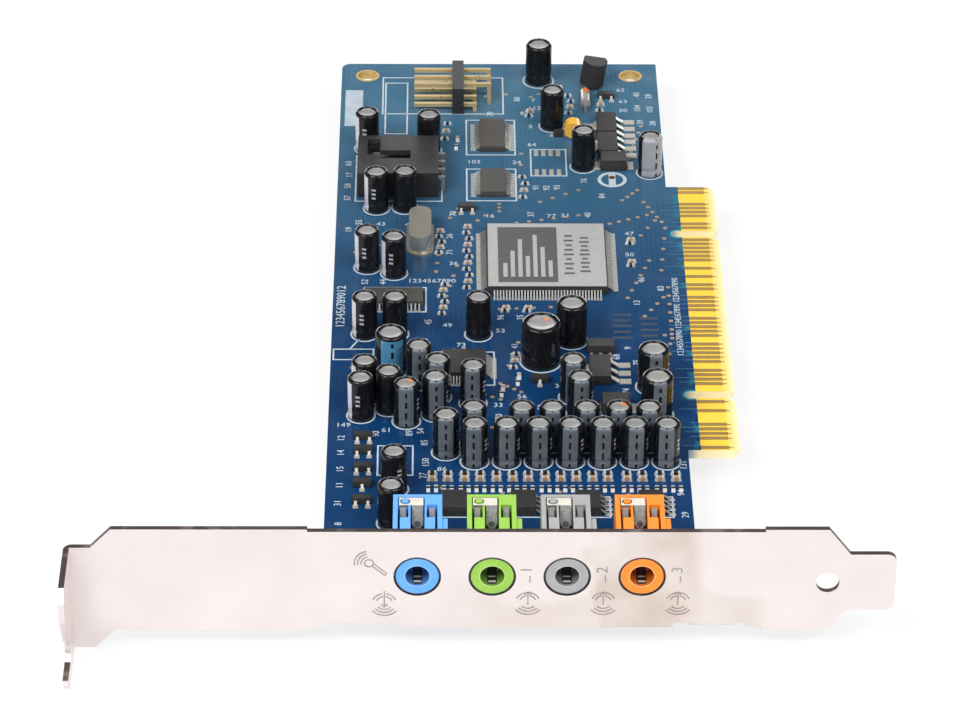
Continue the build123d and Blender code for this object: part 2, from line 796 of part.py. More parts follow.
# Crystal, a drawn can welded to a flanged base
def crystal():
    spot = at(crystal_place) * Rot(0, 0, 90)
    flange = SlotOverall(crystal_length + 2 * crystal_flange, crystal_width + 2 * crystal_flange)
    can_outline = SlotOverall(crystal_length, crystal_width)
    rise = crystal_height - crystal_flange_thickness
    save("crystal_base", spot * extrude(flange, crystal_flange_thickness))
    save("crystal_can", spot * Pos(0, 0, crystal_flange_thickness) * extrude(can_outline, rise))


def crystal_pin_places():
    x = across(crystal_place[0])
    y = along(crystal_place[1])
    return [(x, y - crystal_pin_pitch / 2), (x, y + crystal_pin_pitch / 2)]


# Audio connector, its mouth towards the top edge
def aux_pin_line():
    y = along(aux_place[1])
    return [y + aux_pin_pitch * (i - 1.5) for i in range(4)]


def aux_connector():
    x0 = across(aux_place[0])
    x1 = x0 + aux_length
    y = along(aux_place[1])
    half = aux_width / 2
    z_pin = aux_height / 2
    s = aux_pin_size / 2
    body = block(x0, x1, y - half, y + half, 0, aux_height)
    body -= block(x0, x0 + aux_floor_length, y - half + aux_wall, y + half - aux_wall, aux_wall,
                  aux_height - aux_wall)
    body -= block(x0 + aux_window_start, x0 + aux_window_end, y - aux_window_width / 2,
                  y + aux_window_width / 2, z_pin, aux_height)
    body -= block(x0 + aux_key_start, x0 + aux_window_start, y, y + aux_key_width, z_pin, aux_height)
    pins = []
    x_bend = x1 + aux_pin_reach
    for line in aux_pin_line():
        body -= block(x0, x1, line - s, line + s, z_pin - s, z_pin + s)
        pin = strip_side([(x0 + aux_pin_tip_margin, z_pin - s), (x0 + aux_pin_tip_margin, z_pin + s),
                          (x_bend + s, z_pin + s), (x_bend + s, 0), (x_bend - s, 0),
                          (x_bend - s, z_pin - s)], aux_pin_size)
        pins.append(Pos(0, line, 0) * pin)
    save("aux_connector_housing", body)
    save("aux_connector_pins", *pins)


def aux_pin_places():
    x = across(aux_place[0]) + aux_length + aux_pin_reach
    return [(x, line) for line in aux_pin_line()]


# Pin header, two rows of bent pins in one moulded strip, the nearest upper pin left out as a key
def header_pins_in_place():
    """Column line, row height and bend of each pin that is fitted."""
    y = along(header_place[1])
    pins = []
    for column in range(header_column_count):
        line = y + header_pitch * (column - (header_column_count - 1) / 2)
        pins.append((line, header_pitch / 2, header_lower_bend))
        if column > 0:
            pins.append((line, 1.5 * header_pitch, header_upper_bend))
    return pins


def pin_header():
    x = across(header_place[0])
    y = along(header_place[1])
    half = header_strip_width / 2
    s = header_pin_size / 2
    reach = header_pitch * header_column_count / 2
    strip = block(x - half, x + half, y - reach, y + reach, 0, header_strip_height)
    pins = []
    for line, z, bend in header_pins_in_place():
        strip -= block(x - half, x + half, line - s, line + s, z - s, z + s)
        left = x - half - header_pin_left
        turn = x + half + bend
        pin = strip_side([(left, z - s), (left, z + s), (turn + s, z + s), (turn + s, 0), (turn - s, 0),
                          (turn - s, z - s)], header_pin_size)
        pins.append(Pos(0, line, 0) * pin)
    save("header_strip", strip)
    save("header_pins", *pins)


def header_pin_places():
    x = across(header_place[0]) + header_strip_width / 2
    return [(x + bend, line) for line, z, bend in header_pins_in_place()]


# Chip parts, one capacitor and one resistor in each column
def chip_parts():
    half = chip_length / 2
    side_half = chip_width / 2
    ceramic = block(-half, half, -side_half, side_half, 0, chip_capacitor_height)
    film = block(-half, half, -side_half, side_half, 0, chip_resistor_height)
    ceramics = []
    films = []
    for offset in chip_columns:
        films.append(at((offset, chip_row_line)) * film)
        ceramics.append(at((offset, chip_row_line - chip_row_pitch)) * ceramic)
    save("chip_capacitors", *ceramics)
    save("chip_resistors", *films)


os.makedirs("parts", exist_ok=True)
save("circuit_board", circuit_board())
save("contacts_component_side", *edge_contacts(0))
save("contacts_solder_side", *edge_contacts(lower_face - contact_thickness))
save("bracket", bracket())
save("bracket_screw", bracket_screw())
joint_places = crystal_pin_places() + aux_pin_places() + header_pin_places()
for jack_name, jack_x in zip(jack_names, jack_lines):
    save(f"jack_housing_{jack_name}", jack_housing(jack_x))
    save(f"jack_springs_{jack_name}", *jack_springs(jack_x))
    joint_places += jack_pin_places(jack_x)
save("solder_joints", *solder_joints(joint_places))
processor()
codec()
converters()
op_amps()
regulators()
reference()
transistors()
diodes()
capacitors()
standing_transistor()
glass_diode()
dipped_capacitor()
crystal()
aux_connector()
pin_header()
chip_parts()
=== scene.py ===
import math

import bmesh
import bpy
from mathutils import Matrix, Vector


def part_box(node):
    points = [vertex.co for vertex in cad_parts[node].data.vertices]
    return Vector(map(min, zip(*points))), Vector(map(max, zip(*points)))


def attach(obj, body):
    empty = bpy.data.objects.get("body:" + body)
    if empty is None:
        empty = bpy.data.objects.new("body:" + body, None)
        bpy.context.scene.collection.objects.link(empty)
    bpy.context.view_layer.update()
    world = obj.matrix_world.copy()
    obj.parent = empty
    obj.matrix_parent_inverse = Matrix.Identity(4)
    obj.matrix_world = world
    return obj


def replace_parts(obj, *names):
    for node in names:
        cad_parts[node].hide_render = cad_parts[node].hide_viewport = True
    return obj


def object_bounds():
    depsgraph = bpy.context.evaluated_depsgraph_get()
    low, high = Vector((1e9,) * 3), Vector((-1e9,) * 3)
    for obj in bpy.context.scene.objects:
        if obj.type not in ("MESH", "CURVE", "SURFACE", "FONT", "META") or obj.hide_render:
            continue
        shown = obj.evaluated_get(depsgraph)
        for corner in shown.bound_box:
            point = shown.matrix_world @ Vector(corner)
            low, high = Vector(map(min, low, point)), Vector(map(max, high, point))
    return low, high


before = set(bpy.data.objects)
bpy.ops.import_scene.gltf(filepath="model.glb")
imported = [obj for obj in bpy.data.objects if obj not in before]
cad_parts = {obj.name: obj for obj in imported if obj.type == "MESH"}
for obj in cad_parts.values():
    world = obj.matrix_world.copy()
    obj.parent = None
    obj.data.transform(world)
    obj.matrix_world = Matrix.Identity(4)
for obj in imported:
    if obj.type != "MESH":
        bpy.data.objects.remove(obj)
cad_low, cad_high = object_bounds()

# Circuit board
# A four-layer glass-epoxy laminate under glossy blue solder mask. The copper shows through the mask as
# slightly lighter lines and fields. The tongue of the edge connector carries no mask, so it is bare yellow.
MM = 0.001
board_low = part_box("circuit_board")[0]
# Painted sheen: the mask and copper tones turn lighter from the near end to the far end, standing in for
# light reflected off the glossy mask.
MASK_NEAR = (0.003, 0.03, 0.098)
MASK_FAR_SHEEN = (0.044, 0.124, 0.2)
COPPER_NEAR = (0.004, 0.042, 0.13)
COPPER_FAR_SHEEN = (0.056, 0.152, 0.232)
BARE_YELLOW = (0.86, 0.55, 0.06)
TIP_YELLOW = (0.9, 0.76, 0.44)
EDGE_TEAL = (0.006, 0.17, 0.22)
SLOT_RIM = (0.13, 0.38, 0.42)
LAMINATE_EDGE = (0.2, 0.32, 0.38)
PAINTED_SHEEN_RAMP = (15 * MM, 120 * MM)
MASK_END = -6.2 * MM
THIN_MASK = (-7.6 * MM, MASK_END)
EDGE_CHANGE = (MASK_END - 2 * MM, MASK_END)
TIP_FADE = (-2.4 * MM, 0.4 * MM)
SLOT_END = -6.95 * MM
SLOT_MIDDLE = 38.735 * MM
SLOT_SPREAD = 24.13 * MM
SLOT_TEAL = (1.7 * MM, 1.15 * MM)
SLOT_RIM_LINE = (1.15 * MM, 1.05 * MM)
TRACE_PITCH = 0.82 * MM
TRACE_HALF = 0.2
TRACE_RELIEF = 0.6
LAYOUT_CELL = 9 * MM
CELLS_ALONG = (0.0, 0.3)
CELLS_ACROSS = (0.3, 0.5)
POUR_START = 0.55
POUR_RELIEF = 0.4
COPPER_HEIGHT = 0.03 * MM
FINE_HEIGHT = 0.02 * MM
MOTTLE_RANGE = (0.32, 0.68)


def on_board(x, y, z=0.0):
    """Place in millimetres from the top edge, from the bracket end and up from the component face."""
    return Vector((board_low.x + x * MM, board_low.y + y * MM, z * MM))


def mottle_group():
    """Soft change between two colours at one scale, with the same grain put out for roughness and bump."""
    group = bpy.data.node_groups.new("mottle", "ShaderNodeTree")
    for name, way, kind in (("Colour", "INPUT", "Color"), ("Second Colour", "INPUT", "Color"),
                            ("Scale", "INPUT", "Float"), ("Share", "INPUT", "Float"),
                            ("Colour", "OUTPUT", "Color"), ("Grain", "OUTPUT", "Float")):
        group.interface.new_socket(name, in_out=way, socket_type=f"NodeSocket{kind}")
    inside = group.nodes.new("NodeGroupInput")
    outside = group.nodes.new("NodeGroupOutput")
    place = group.nodes.new("ShaderNodeTexCoord")
    noise = group.nodes.new("ShaderNodeTexNoise")
    noise.inputs["Detail"].default_value = 5
    spread = group.nodes.new("ShaderNodeMapRange")
    spread.inputs["From Min"].default_value, spread.inputs["From Max"].default_value = MOTTLE_RANGE
    share = group.nodes.new("ShaderNodeMath")
    share.operation = "MULTIPLY"
    mix = group.nodes.new("ShaderNodeMix")
    mix.data_type = "RGBA"
    join = group.links.new
    join(place.outputs["Object"], noise.inputs["Vector"])
    join(inside.outputs["Scale"], noise.inputs["Scale"])
    join(noise.outputs["Fac"], spread.inputs["Value"])
    join(spread.outputs["Result"], share.inputs[0])
    join(inside.outputs["Share"], share.inputs[1])
    join(share.outputs["Value"], mix.inputs["Factor"])
    join(inside.outputs["Colour"], mix.inputs["A"])
    join(inside.outputs["Second Colour"], mix.inputs["B"])
    join(mix.outputs["Result"], outside.inputs["Colour"])
    join(spread.outputs["Result"], outside.inputs["Grain"])
    return group


mottle = mottle_group()


class Recipe:
    """Material under construction, with short ways to add and join its nodes."""

    def __init__(self, name):
        self.material = bpy.data.materials.new(name)
        self.material.use_nodes = True
        self.nodes = self.material.node_tree.nodes
        self.join = self.material.node_tree.links.new
        self.shader = self.nodes["Principled BSDF"]

    def feed(self, socket, value):
        """Join another node's output to a socket, or set it to a number or a colour."""
        if isinstance(value, bpy.types.NodeSocket):
            self.join(value, socket)
        elif isinstance(value, tuple):
            socket.default_value = (*value, 1)
        else:
            socket.default_value = value

    def add(self, kind, **inputs):
        """New node with its inputs fed by name, an underscore standing for a space."""
        node = self.nodes.new(f"ShaderNode{kind}")
        for name, value in inputs.items():
            self.feed(node.inputs[name.replace("_", " ")], value)
        return node

    def math(self, operation, *values):
        node = self.add("Math")
        node.operation = operation
        for socket, value in zip(node.inputs, values):
            self.feed(socket, value)
        return node.outputs["Value"]

    def both(self, first, second):
        """Mask where two masks meet."""
        return self.math("MULTIPLY", first, second)

    def apart(self, value, middle):
        """Distance of a value from a middle, on either side."""
        return self.math("ABSOLUTE", self.math("SUBTRACT", value, middle))

    def length(self, first, second):
        """Distance from two offsets at right angles."""
        squares = [self.math("MULTIPLY", offset, offset) for offset in (first, second)]
        return self.math("SQRT", self.math("ADD", *squares))

    def blend(self, share, first, second):
        node = self.add("Mix")
        node.data_type = "RGBA"
        for name, value in (("Factor", share), ("A", first), ("B", second)):
            self.feed(node.inputs[name], value)
        return node.outputs["Result"]

    def ramp(self, value, low, high):
        """Smooth step of a value from 0 at low to 1 at high."""
        node = self.add("MapRange", From_Min=low, From_Max=high, Value=value)
        node.interpolation_type = "SMOOTHSTEP"
        return node.outputs["Result"]

    def split(self, vector):
        """The outputs X, Y and Z of a vector."""
        return self.add("SeparateXYZ", Vector=vector).outputs

    def place(self):
        """Object coordinates, whole and split."""
        vector = self.add("TexCoord").outputs["Object"]
        return vector, self.split(vector)

    def normal(self):
        return self.split(self.add("NewGeometry").outputs["Normal"])

    def noise(self, vector, scale, detail):
        return self.add("TexNoise", Scale=scale, Detail=detail, Vector=vector).outputs["Fac"]

    def grain(self, colour, second, scale, share):
        node = self.add("Group")
        node.node_tree = mottle
        for name, value in (("Colour", colour), ("Second Colour", second), ("Scale", scale),
                            ("Share", share)):
            self.feed(node.inputs[name], value)
        return node.outputs["Colour"], node.outputs["Grain"]

    def surface(self, colour, grain, roughness, bump=0.0, height=None, depth=FINE_HEIGHT):
        """Join the colour, a roughness range that follows the grain and a bump from a height or the grain."""
        rough = self.add("MapRange", To_Min=roughness[0], To_Max=roughness[1], Value=grain)
        self.feed(self.shader.inputs["Base Color"], colour)
        self.feed(self.shader.inputs["Roughness"], rough.outputs["Result"])
        if bump:
            node = self.add("Bump", Strength=bump, Distance=depth, Height=height or grain)
            self.feed(self.shader.inputs["Normal"], node.outputs["Normal"])

    def done(self, metallic=0.0, specular=0.5):
        """Set the shader's plain sockets and hand the material over."""
        self.shader.inputs["Metallic"].default_value = metallic
        self.shader.inputs["Specular IOR Level"].default_value = specular
        return self.material


def finish(name, colour, second, scale, share, roughness, metallic=0.0, bump=0.0, specular=0.5):
    """Material of two mottled colours with a roughness range and a fine bump."""
    recipe = Recipe(name)
    tint, grain = recipe.grain(colour, second, scale, share)
    recipe.surface(tint, grain, roughness, bump)
    return recipe.done(metallic, specular)


def coat(node_name, material):
    """Give a node of the frame its finish."""
    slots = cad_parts[node_name].data.materials
    slots.clear()
    slots.append(material)


def laminate_finish():
    """Mask over traces and fields of copper, teal where it thins, bare on the tongue, pale on cut edges."""
    recipe = Recipe("solder_mask_laminate")
    vector, where = recipe.place()
    x = where["X"]
    y = where["Y"]
    cells = recipe.add("TexVoronoi", Scale=1 / LAYOUT_CELL, Vector=vector)
    cells.distance = "CHEBYCHEV"
    choice = recipe.add("SeparateColor", Color=cells.outputs["Color"]).outputs["Red"]
    lines = []
    for run, (first, last) in ((x, CELLS_ALONG), (y, CELLS_ACROSS)):
        wave = recipe.math("FRACT", recipe.math("DIVIDE", run, TRACE_PITCH))
        line = recipe.math("LESS_THAN", recipe.apart(wave, 0.5), TRACE_HALF)
        above = recipe.math("GREATER_THAN", choice, first)
        below = recipe.math("LESS_THAN", choice, last)
        lines.append(recipe.both(line, recipe.both(above, below)))
    traces = recipe.math("ADD", *lines)
    pour = recipe.math("GREATER_THAN", choice, POUR_START)
    copper = recipe.math("MULTIPLY_ADD", traces, TRACE_RELIEF, recipe.math("MULTIPLY", pour, POUR_RELIEF))
    # Painted sheen: mask and copper lighter towards the far end.
    far = recipe.ramp(y, *PAINTED_SHEEN_RAMP)
    plain = recipe.blend(far, MASK_NEAR, MASK_FAR_SHEEN)
    raised = recipe.blend(far, COPPER_NEAR, COPPER_FAR_SHEEN)
    mask, grain = recipe.grain(recipe.blend(copper, plain, raised), plain, 230, 0.5)
    patchy = recipe.ramp(recipe.noise(vector, 330, 1), 0.5, 0.62)
    mask = recipe.blend(recipe.both(recipe.ramp(x, *THIN_MASK), patchy), mask, EDGE_TEAL)
    behind = recipe.math("MINIMUM", recipe.math("SUBTRACT", x, SLOT_END), 0.0)
    beside = recipe.math("SUBTRACT", recipe.apart(y, SLOT_MIDDLE), SLOT_SPREAD)
    from_slot = recipe.length(behind, beside)
    mask = recipe.blend(recipe.ramp(from_slot, *SLOT_TEAL), mask, EDGE_TEAL)
    mask = recipe.blend(recipe.ramp(from_slot, *SLOT_RIM_LINE), mask, SLOT_RIM)
    bare = recipe.blend(recipe.ramp(x, *TIP_FADE), BARE_YELLOW, TIP_YELLOW)
    top = recipe.blend(recipe.math("GREATER_THAN", x, MASK_END), mask, bare)
    edge = recipe.blend(recipe.ramp(x, *EDGE_CHANGE), LAMINATE_EDGE, TIP_YELLOW)
    upright = recipe.math("LESS_THAN", recipe.math("ABSOLUTE", recipe.normal()["Z"]), 0.4)
    recipe.surface(recipe.blend(upright, top, edge), grain, (0.14, 0.26), 0.2, copper, COPPER_HEIGHT)
    return recipe.done(specular=0.35)


coat("circuit_board", laminate_finish())

# Plated holes, vias and bare pads
# Copper that the mask leaves open. The corner holes are lined with gold-coloured plating, the vias are small
# rings of bare copper, and an empty eight-lead place shows its tinned pads.
LOWER_FACE = board_low.z / MM
HOLE_RADIUS = 1.8
LINING = 0.14
RING_RADIUS = 2.1
HOLE_SIDES = 40
FOIL = 0.03
CORNER_HOLES = [(4.6, 156.64), (51.51, 156.64)]
VIA_RING = (0.12, 0.36)
VIA_SIDES = 10
# Rows of vias: the first one's place, the step to the next and their number.
VIA_ROWS = [
    ((50.4, 62.0), (0.9, 2.6), 5), ((53.4, 58.2), (0.35, 2.9), 6), ((55.2, 71.5), (0.0, 2.54), 7),
    ((51.0, 78.0), (1.1, 1.9), 4), ((54.3, 92.0), (0.3, 3.3), 5), ((50.0, 100.5), (1.3, 2.4), 4),
    ((46.2, 106.6), (1.6, 0.7), 5), ((30.5, 106.8), (2.1, 0.5), 6), ((22.6, 106.0), (1.3, 1.6), 3),
    ((52.2, 113.6), (0.7, -1.6), 5), ((27.2, 58.3), (1.1, -0.8), 4), ((24.6, 55.2), (1.3, -0.7), 3),
    ((15.0, 66.5), (1.6, 0.5), 5), ((28.6, 63.5), (0.9, 1.4), 4), ((18.6, 84.0), (0.6, 3.1), 4),
    ((16.9, 91.5), (0.2, 2.6), 4), ((34.6, 113.6), (2.2, 1.3), 4), ((31.4, 122.0), (0.1, 3.8), 3),
    ((27.6, 110.6), (0.0, 1.2), 3), ((22.0, 148.8), (3.6, 0.6), 3), ((48.6, 114.2), (0.9, 1.1), 4),
    ((24.5, 79.9), (2.8, 0.2), 5), ((3.2, 60.4), (0.3, 2.4), 3), ((30.2, 70.2), (2.2, 1.2), 3),
    ((48.4, 83.5), (0.8, 2.3), 6), ((3.4, 97.5), (1.9, 1.1), 5), ((19.2, 108.4), (0.7, 1.5), 3),
    ((50.2, 128.0), (0.5, 2.2), 6), ((33.6, 149.2), (1.4, 1.0), 3), ((25.8, 46.0), (1.7, 0.3), 5),
    ((43.6, 44.6), (1.5, 0.4), 4), ((27.0, 30.0), (0.2, -1.7), 3), ((36.0, 28.6), (0.9, 0.5), 3),
    ((46.0, 29.3), (0.5, -1.5), 3), ((17.0, 30.2), (0.9, -0.6), 3)]
EIGHT_LEAD_PITCH = 1.27
EMPTY_PLACE_PADS = [(34.2 + EIGHT_LEAD_PITCH * i, y) for y in (123.4, 129.8) for i in range(4)]
PAD = (0.72, 1.9, 0.06, 0.05)


def open_mesh():
    """Go into edit mode with the whole of the new shape selected."""
    bpy.ops.object.mode_set(mode="EDIT")
    bpy.ops.mesh.select_all(action="SELECT")


def close_shell():
    """Turn the faces of the edited shape outwards and leave edit mode."""
    bpy.ops.mesh.select_all(action="SELECT")
    bpy.ops.mesh.normals_make_consistent(inside=False)
    bpy.ops.object.mode_set(mode="OBJECT")


def lift(height):
    """Extrude what is selected upwards."""
    bpy.ops.mesh.extrude_region_move(TRANSFORM_OT_translate={"value": (0, 0, height * MM)})


def raise_outline(line, height):
    """Make the open flat face a raised outline, its line drawn inwards."""
    bpy.ops.mesh.inset(thickness=line * MM)
    bpy.ops.mesh.delete(type="FACE")
    bpy.ops.mesh.select_all(action="SELECT")
    lift(height)
    close_shell()


def round_sheet(radius, sides, level=0.0, turn=0.0):
    """Flat disc, left open in edit mode."""
    bpy.ops.object.select_all(action="DESELECT")
    bpy.ops.mesh.primitive_circle_add(vertices=sides, radius=radius * MM, fill_type="NGON",
                                      location=(0, 0, level * MM), rotation=(0, 0, turn))
    bpy.ops.object.transform_apply(location=True, rotation=True, scale=False)
    open_mesh()
    return bpy.context.object


def flat_sheet(width, length):
    """Flat rectangle on height 0, left open in edit mode."""
    bpy.ops.object.select_all(action="DESELECT")
    bpy.ops.mesh.primitive_plane_add(size=1)
    bpy.context.object.scale = (width * MM, length * MM, 1)
    bpy.ops.object.transform_apply(location=False, rotation=False, scale=True)
    open_mesh()
    return bpy.context.object


def flat_ring(inner, outer, thickness, sides):
    """Washer that lies on height 0."""
    ring = round_sheet(outer, sides)
    raise_outline((outer - inner) * math.cos(math.pi / sides), thickness)
    return ring


def slab(width, length, height, bevel=0.0, segments=1):
    """Rectangular block that stands on height 0, its upper edges rounded over."""
    block = flat_sheet(width, length)
    lift(height)
    if bevel:
        bpy.ops.mesh.bevel(offset=bevel * MM, segments=segments, affect="EDGES")
    close_shell()
    return block


def set_out(template, spots):
    """Copies of a template at spots as on_board takes them: x, y and, if needed, z and a turn in degrees."""
    copies = []
    for spot in spots:
        x, y, z, turn = tuple(spot) + (0.0,) * (4 - len(spot))
        copy = template.copy()
        copy.data = template.data.copy()
        turned = Matrix.Rotation(math.radians(turn), 4, "Z")
        copy.data.transform(Matrix.Translation(on_board(x, y, z)) @ turned)
        bpy.context.collection.objects.link(copy)
        copies.append(copy)
    bpy.data.objects.remove(template)
    return copies


def gather(name, parts, material=None):
    """Join parts into one named piece that rides on the card."""
    bpy.ops.object.select_all(action="DESELECT")
    for part in parts:
        part.select_set(True)
        if material:
            part.data.materials.clear()
            part.data.materials.append(material)
    bpy.context.view_layer.objects.active = parts[0]
    if len(parts) > 1:
        bpy.ops.object.join()
    piece = bpy.context.view_layer.objects.active
    piece.name = name
    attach(piece, "root")
    return piece


lining = flat_ring(HOLE_RADIUS - LINING, HOLE_RADIUS, -LOWER_FACE, HOLE_SIDES)
plated = set_out(lining, [(x, y, LOWER_FACE) for x, y in CORNER_HOLES])
rim = flat_ring(HOLE_RADIUS - LINING, RING_RADIUS, FOIL, HOLE_SIDES)
plated += set_out(rim, [(x, y, z) for x, y in CORNER_HOLES for z in (0, LOWER_FACE - FOIL)])
plating = finish("hole_plating", (0.7, 0.5, 0.2), (0.5, 0.32, 0.1), 900, 0.6, (0.28, 0.45), 0.7, 0.2)
gather("corner_hole_plating", plated, plating)
via_spots = [(start[0] + step[0] * i, start[1] + step[1] * i) for start, step, count in VIA_ROWS
             for i in range(count)]
via_copper = finish("via_copper", (0.5, 0.36, 0.22), (0.34, 0.23, 0.13), 1500, 0.7, (0.35, 0.5), 0.4)
gather("vias", set_out(flat_ring(*VIA_RING, FOIL, VIA_SIDES), via_spots), via_copper)
tinned = finish("tinned_land", (0.46, 0.44, 0.39), (0.33, 0.31, 0.27), 1400, 0.6, (0.3, 0.48), 0.35, 0.3)
gather("empty_place_pads", set_out(slab(*PAD), EMPTY_PLACE_PADS), tinned)

# Connector traces
# Fine copper lines that run from the edge contacts into the board. They are etched with the rest of the
# copper and lie under the mask, so they show as pale blue lines of different lengths.
CONTACT_NUMBERS = [1, 3, 4, 5, 6, 9, 11, 15, 16, 17, 18, 20, 21, 22, 23, 24, 26, 27, 28, 29, 30, 32, 33, 34,
                   35, 37, 38, 40, 42, 44, 45, 46, 47, 48, 49, 52, 53, 55, 56, 57, 58, 61, 62]
CONTACT_PITCH = 1.27
CONTACT_ONE = -board_low.y / MM
contact_lines = [CONTACT_ONE + (contact - 1) * CONTACT_PITCH for contact in CONTACT_NUMBERS]
MASK_EDGE_PLACE = (MASK_END - board_low.x) / MM
TRACE_RUNS = (2.9, 1.6, 2.3, 3.3, 1.2)
TRACE_WIDTH = 0.14
TRACE_SHIFT = 0.45
trace_lines = []
for index, line_y in enumerate(contact_lines):
    run = TRACE_RUNS[index % len(TRACE_RUNS)]
    trace_lines += set_out(slab(run, TRACE_WIDTH, FOIL), [(MASK_EDGE_PLACE - run / 2, line_y + TRACE_SHIFT)])
trace_blue = finish("trace_under_mask", (0.06, 0.165, 0.31), (0.04, 0.12, 0.24), 900, 0.6, (0.15, 0.28))
gather("connector_traces", trace_lines, trace_blue)

# Printed marks
# Bluish white ink screened on the component face: frames round the chips, rings round the cans and short
# numbers beside the parts. A pale field stands at the far left corner, and faint dark bars lie by the tongue.
INK = 0.025
INK_LINE = 0.26
FRAMES = [(22.0, 30.7, 129.04, 141.14), (22.0, 30.7, 113.84, 124.54), (33.1, 39.45, 122.04, 131.14),
          (43.0, 47.6, 49.04, 53.44), (3.0, 18.0, 113.64, 128.9), (7.3, 28.8, 143.04, 156.04),
          (7.8, 11.9, 136.14, 154.14), (5.0, 15.4, 79.1, 86.7), (7.8, 13.5, 32.84, 41.04),
          (16.6, 26.4, 57.7, 67.5), (0.3, 7.0, 65.0, 68.3)]
OP_AMPS = [(x, 24.59) for x in (19.8, 30.3, 40.2, 49.8)]
FRAMES += [(x - 3.5, x + 3.5, 21.8, 27.4) for x, _ in OP_AMPS]
SLANT_LENGTH = 6.4
SLANT_SPOT = (4.6, 71.2, 0, -28)
FRONT_ROW = [(22.95 + 4.95 * i, 36.64) for i in range(7)]
SECOND_ROW = [(18.5, 39.09), (22.8, 41.29), (30.33, 41.19), (35.04, 41.19), (40.33, 41.19), (45.37, 41.19),
              (50.03, 41.19)]
GREY_CANS = [(14.2, 58.44), (17.2, 54.44), (12.3, 47.64), (16.85, 49.59), (22.8, 52.74), (38.6, 54.44),
             (39.6, 49.54)]
PALE_CANS = [(5.5, 92.74), (9.95, 90.94), (6.8, 111.44), (4.95, 131.34), (5.4, 72.64), (5.7, 54.04),
             (5.15, 49.24)]
DARK_CANS = [(11.6, 111.74), (15.6, 130.54), (37.1, 139.04), (42.2, 125.24), (10.3, 72.64), (23.8, 72.54),
             (9.5, 51.14), (10.2, 20.34)]
SILVERY_CAN = (53.6, 123.24)
NONPOLAR_CAN = (10.55, 29.24)
GREY_LARGE = [(51.4, 57.44), (51.7, 49.59)]
BLUE_LARGE = (9.75, 62.14)
DARK_LARGE = (38.8, 70.74)
HEADER_CAN = (35.05, 154.94)
WIDE_CAN = (33.75, 64.74)
facing_cans = FRONT_ROW + SECOND_ROW + GREY_CANS
small_can_places = facing_cans + PALE_CANS + DARK_CANS + [SILVERY_CAN, NONPOLAR_CAN]
large_can_places = GREY_LARGE + [BLUE_LARGE, DARK_LARGE, HEADER_CAN]
CAN_RINGS = ((2.08, 2.36, 32, small_can_places), (2.53, 2.82, 36, large_can_places),
             (3.18, 3.5, 40, [WIDE_CAN]))
NUMBER_SIZE = 1.6
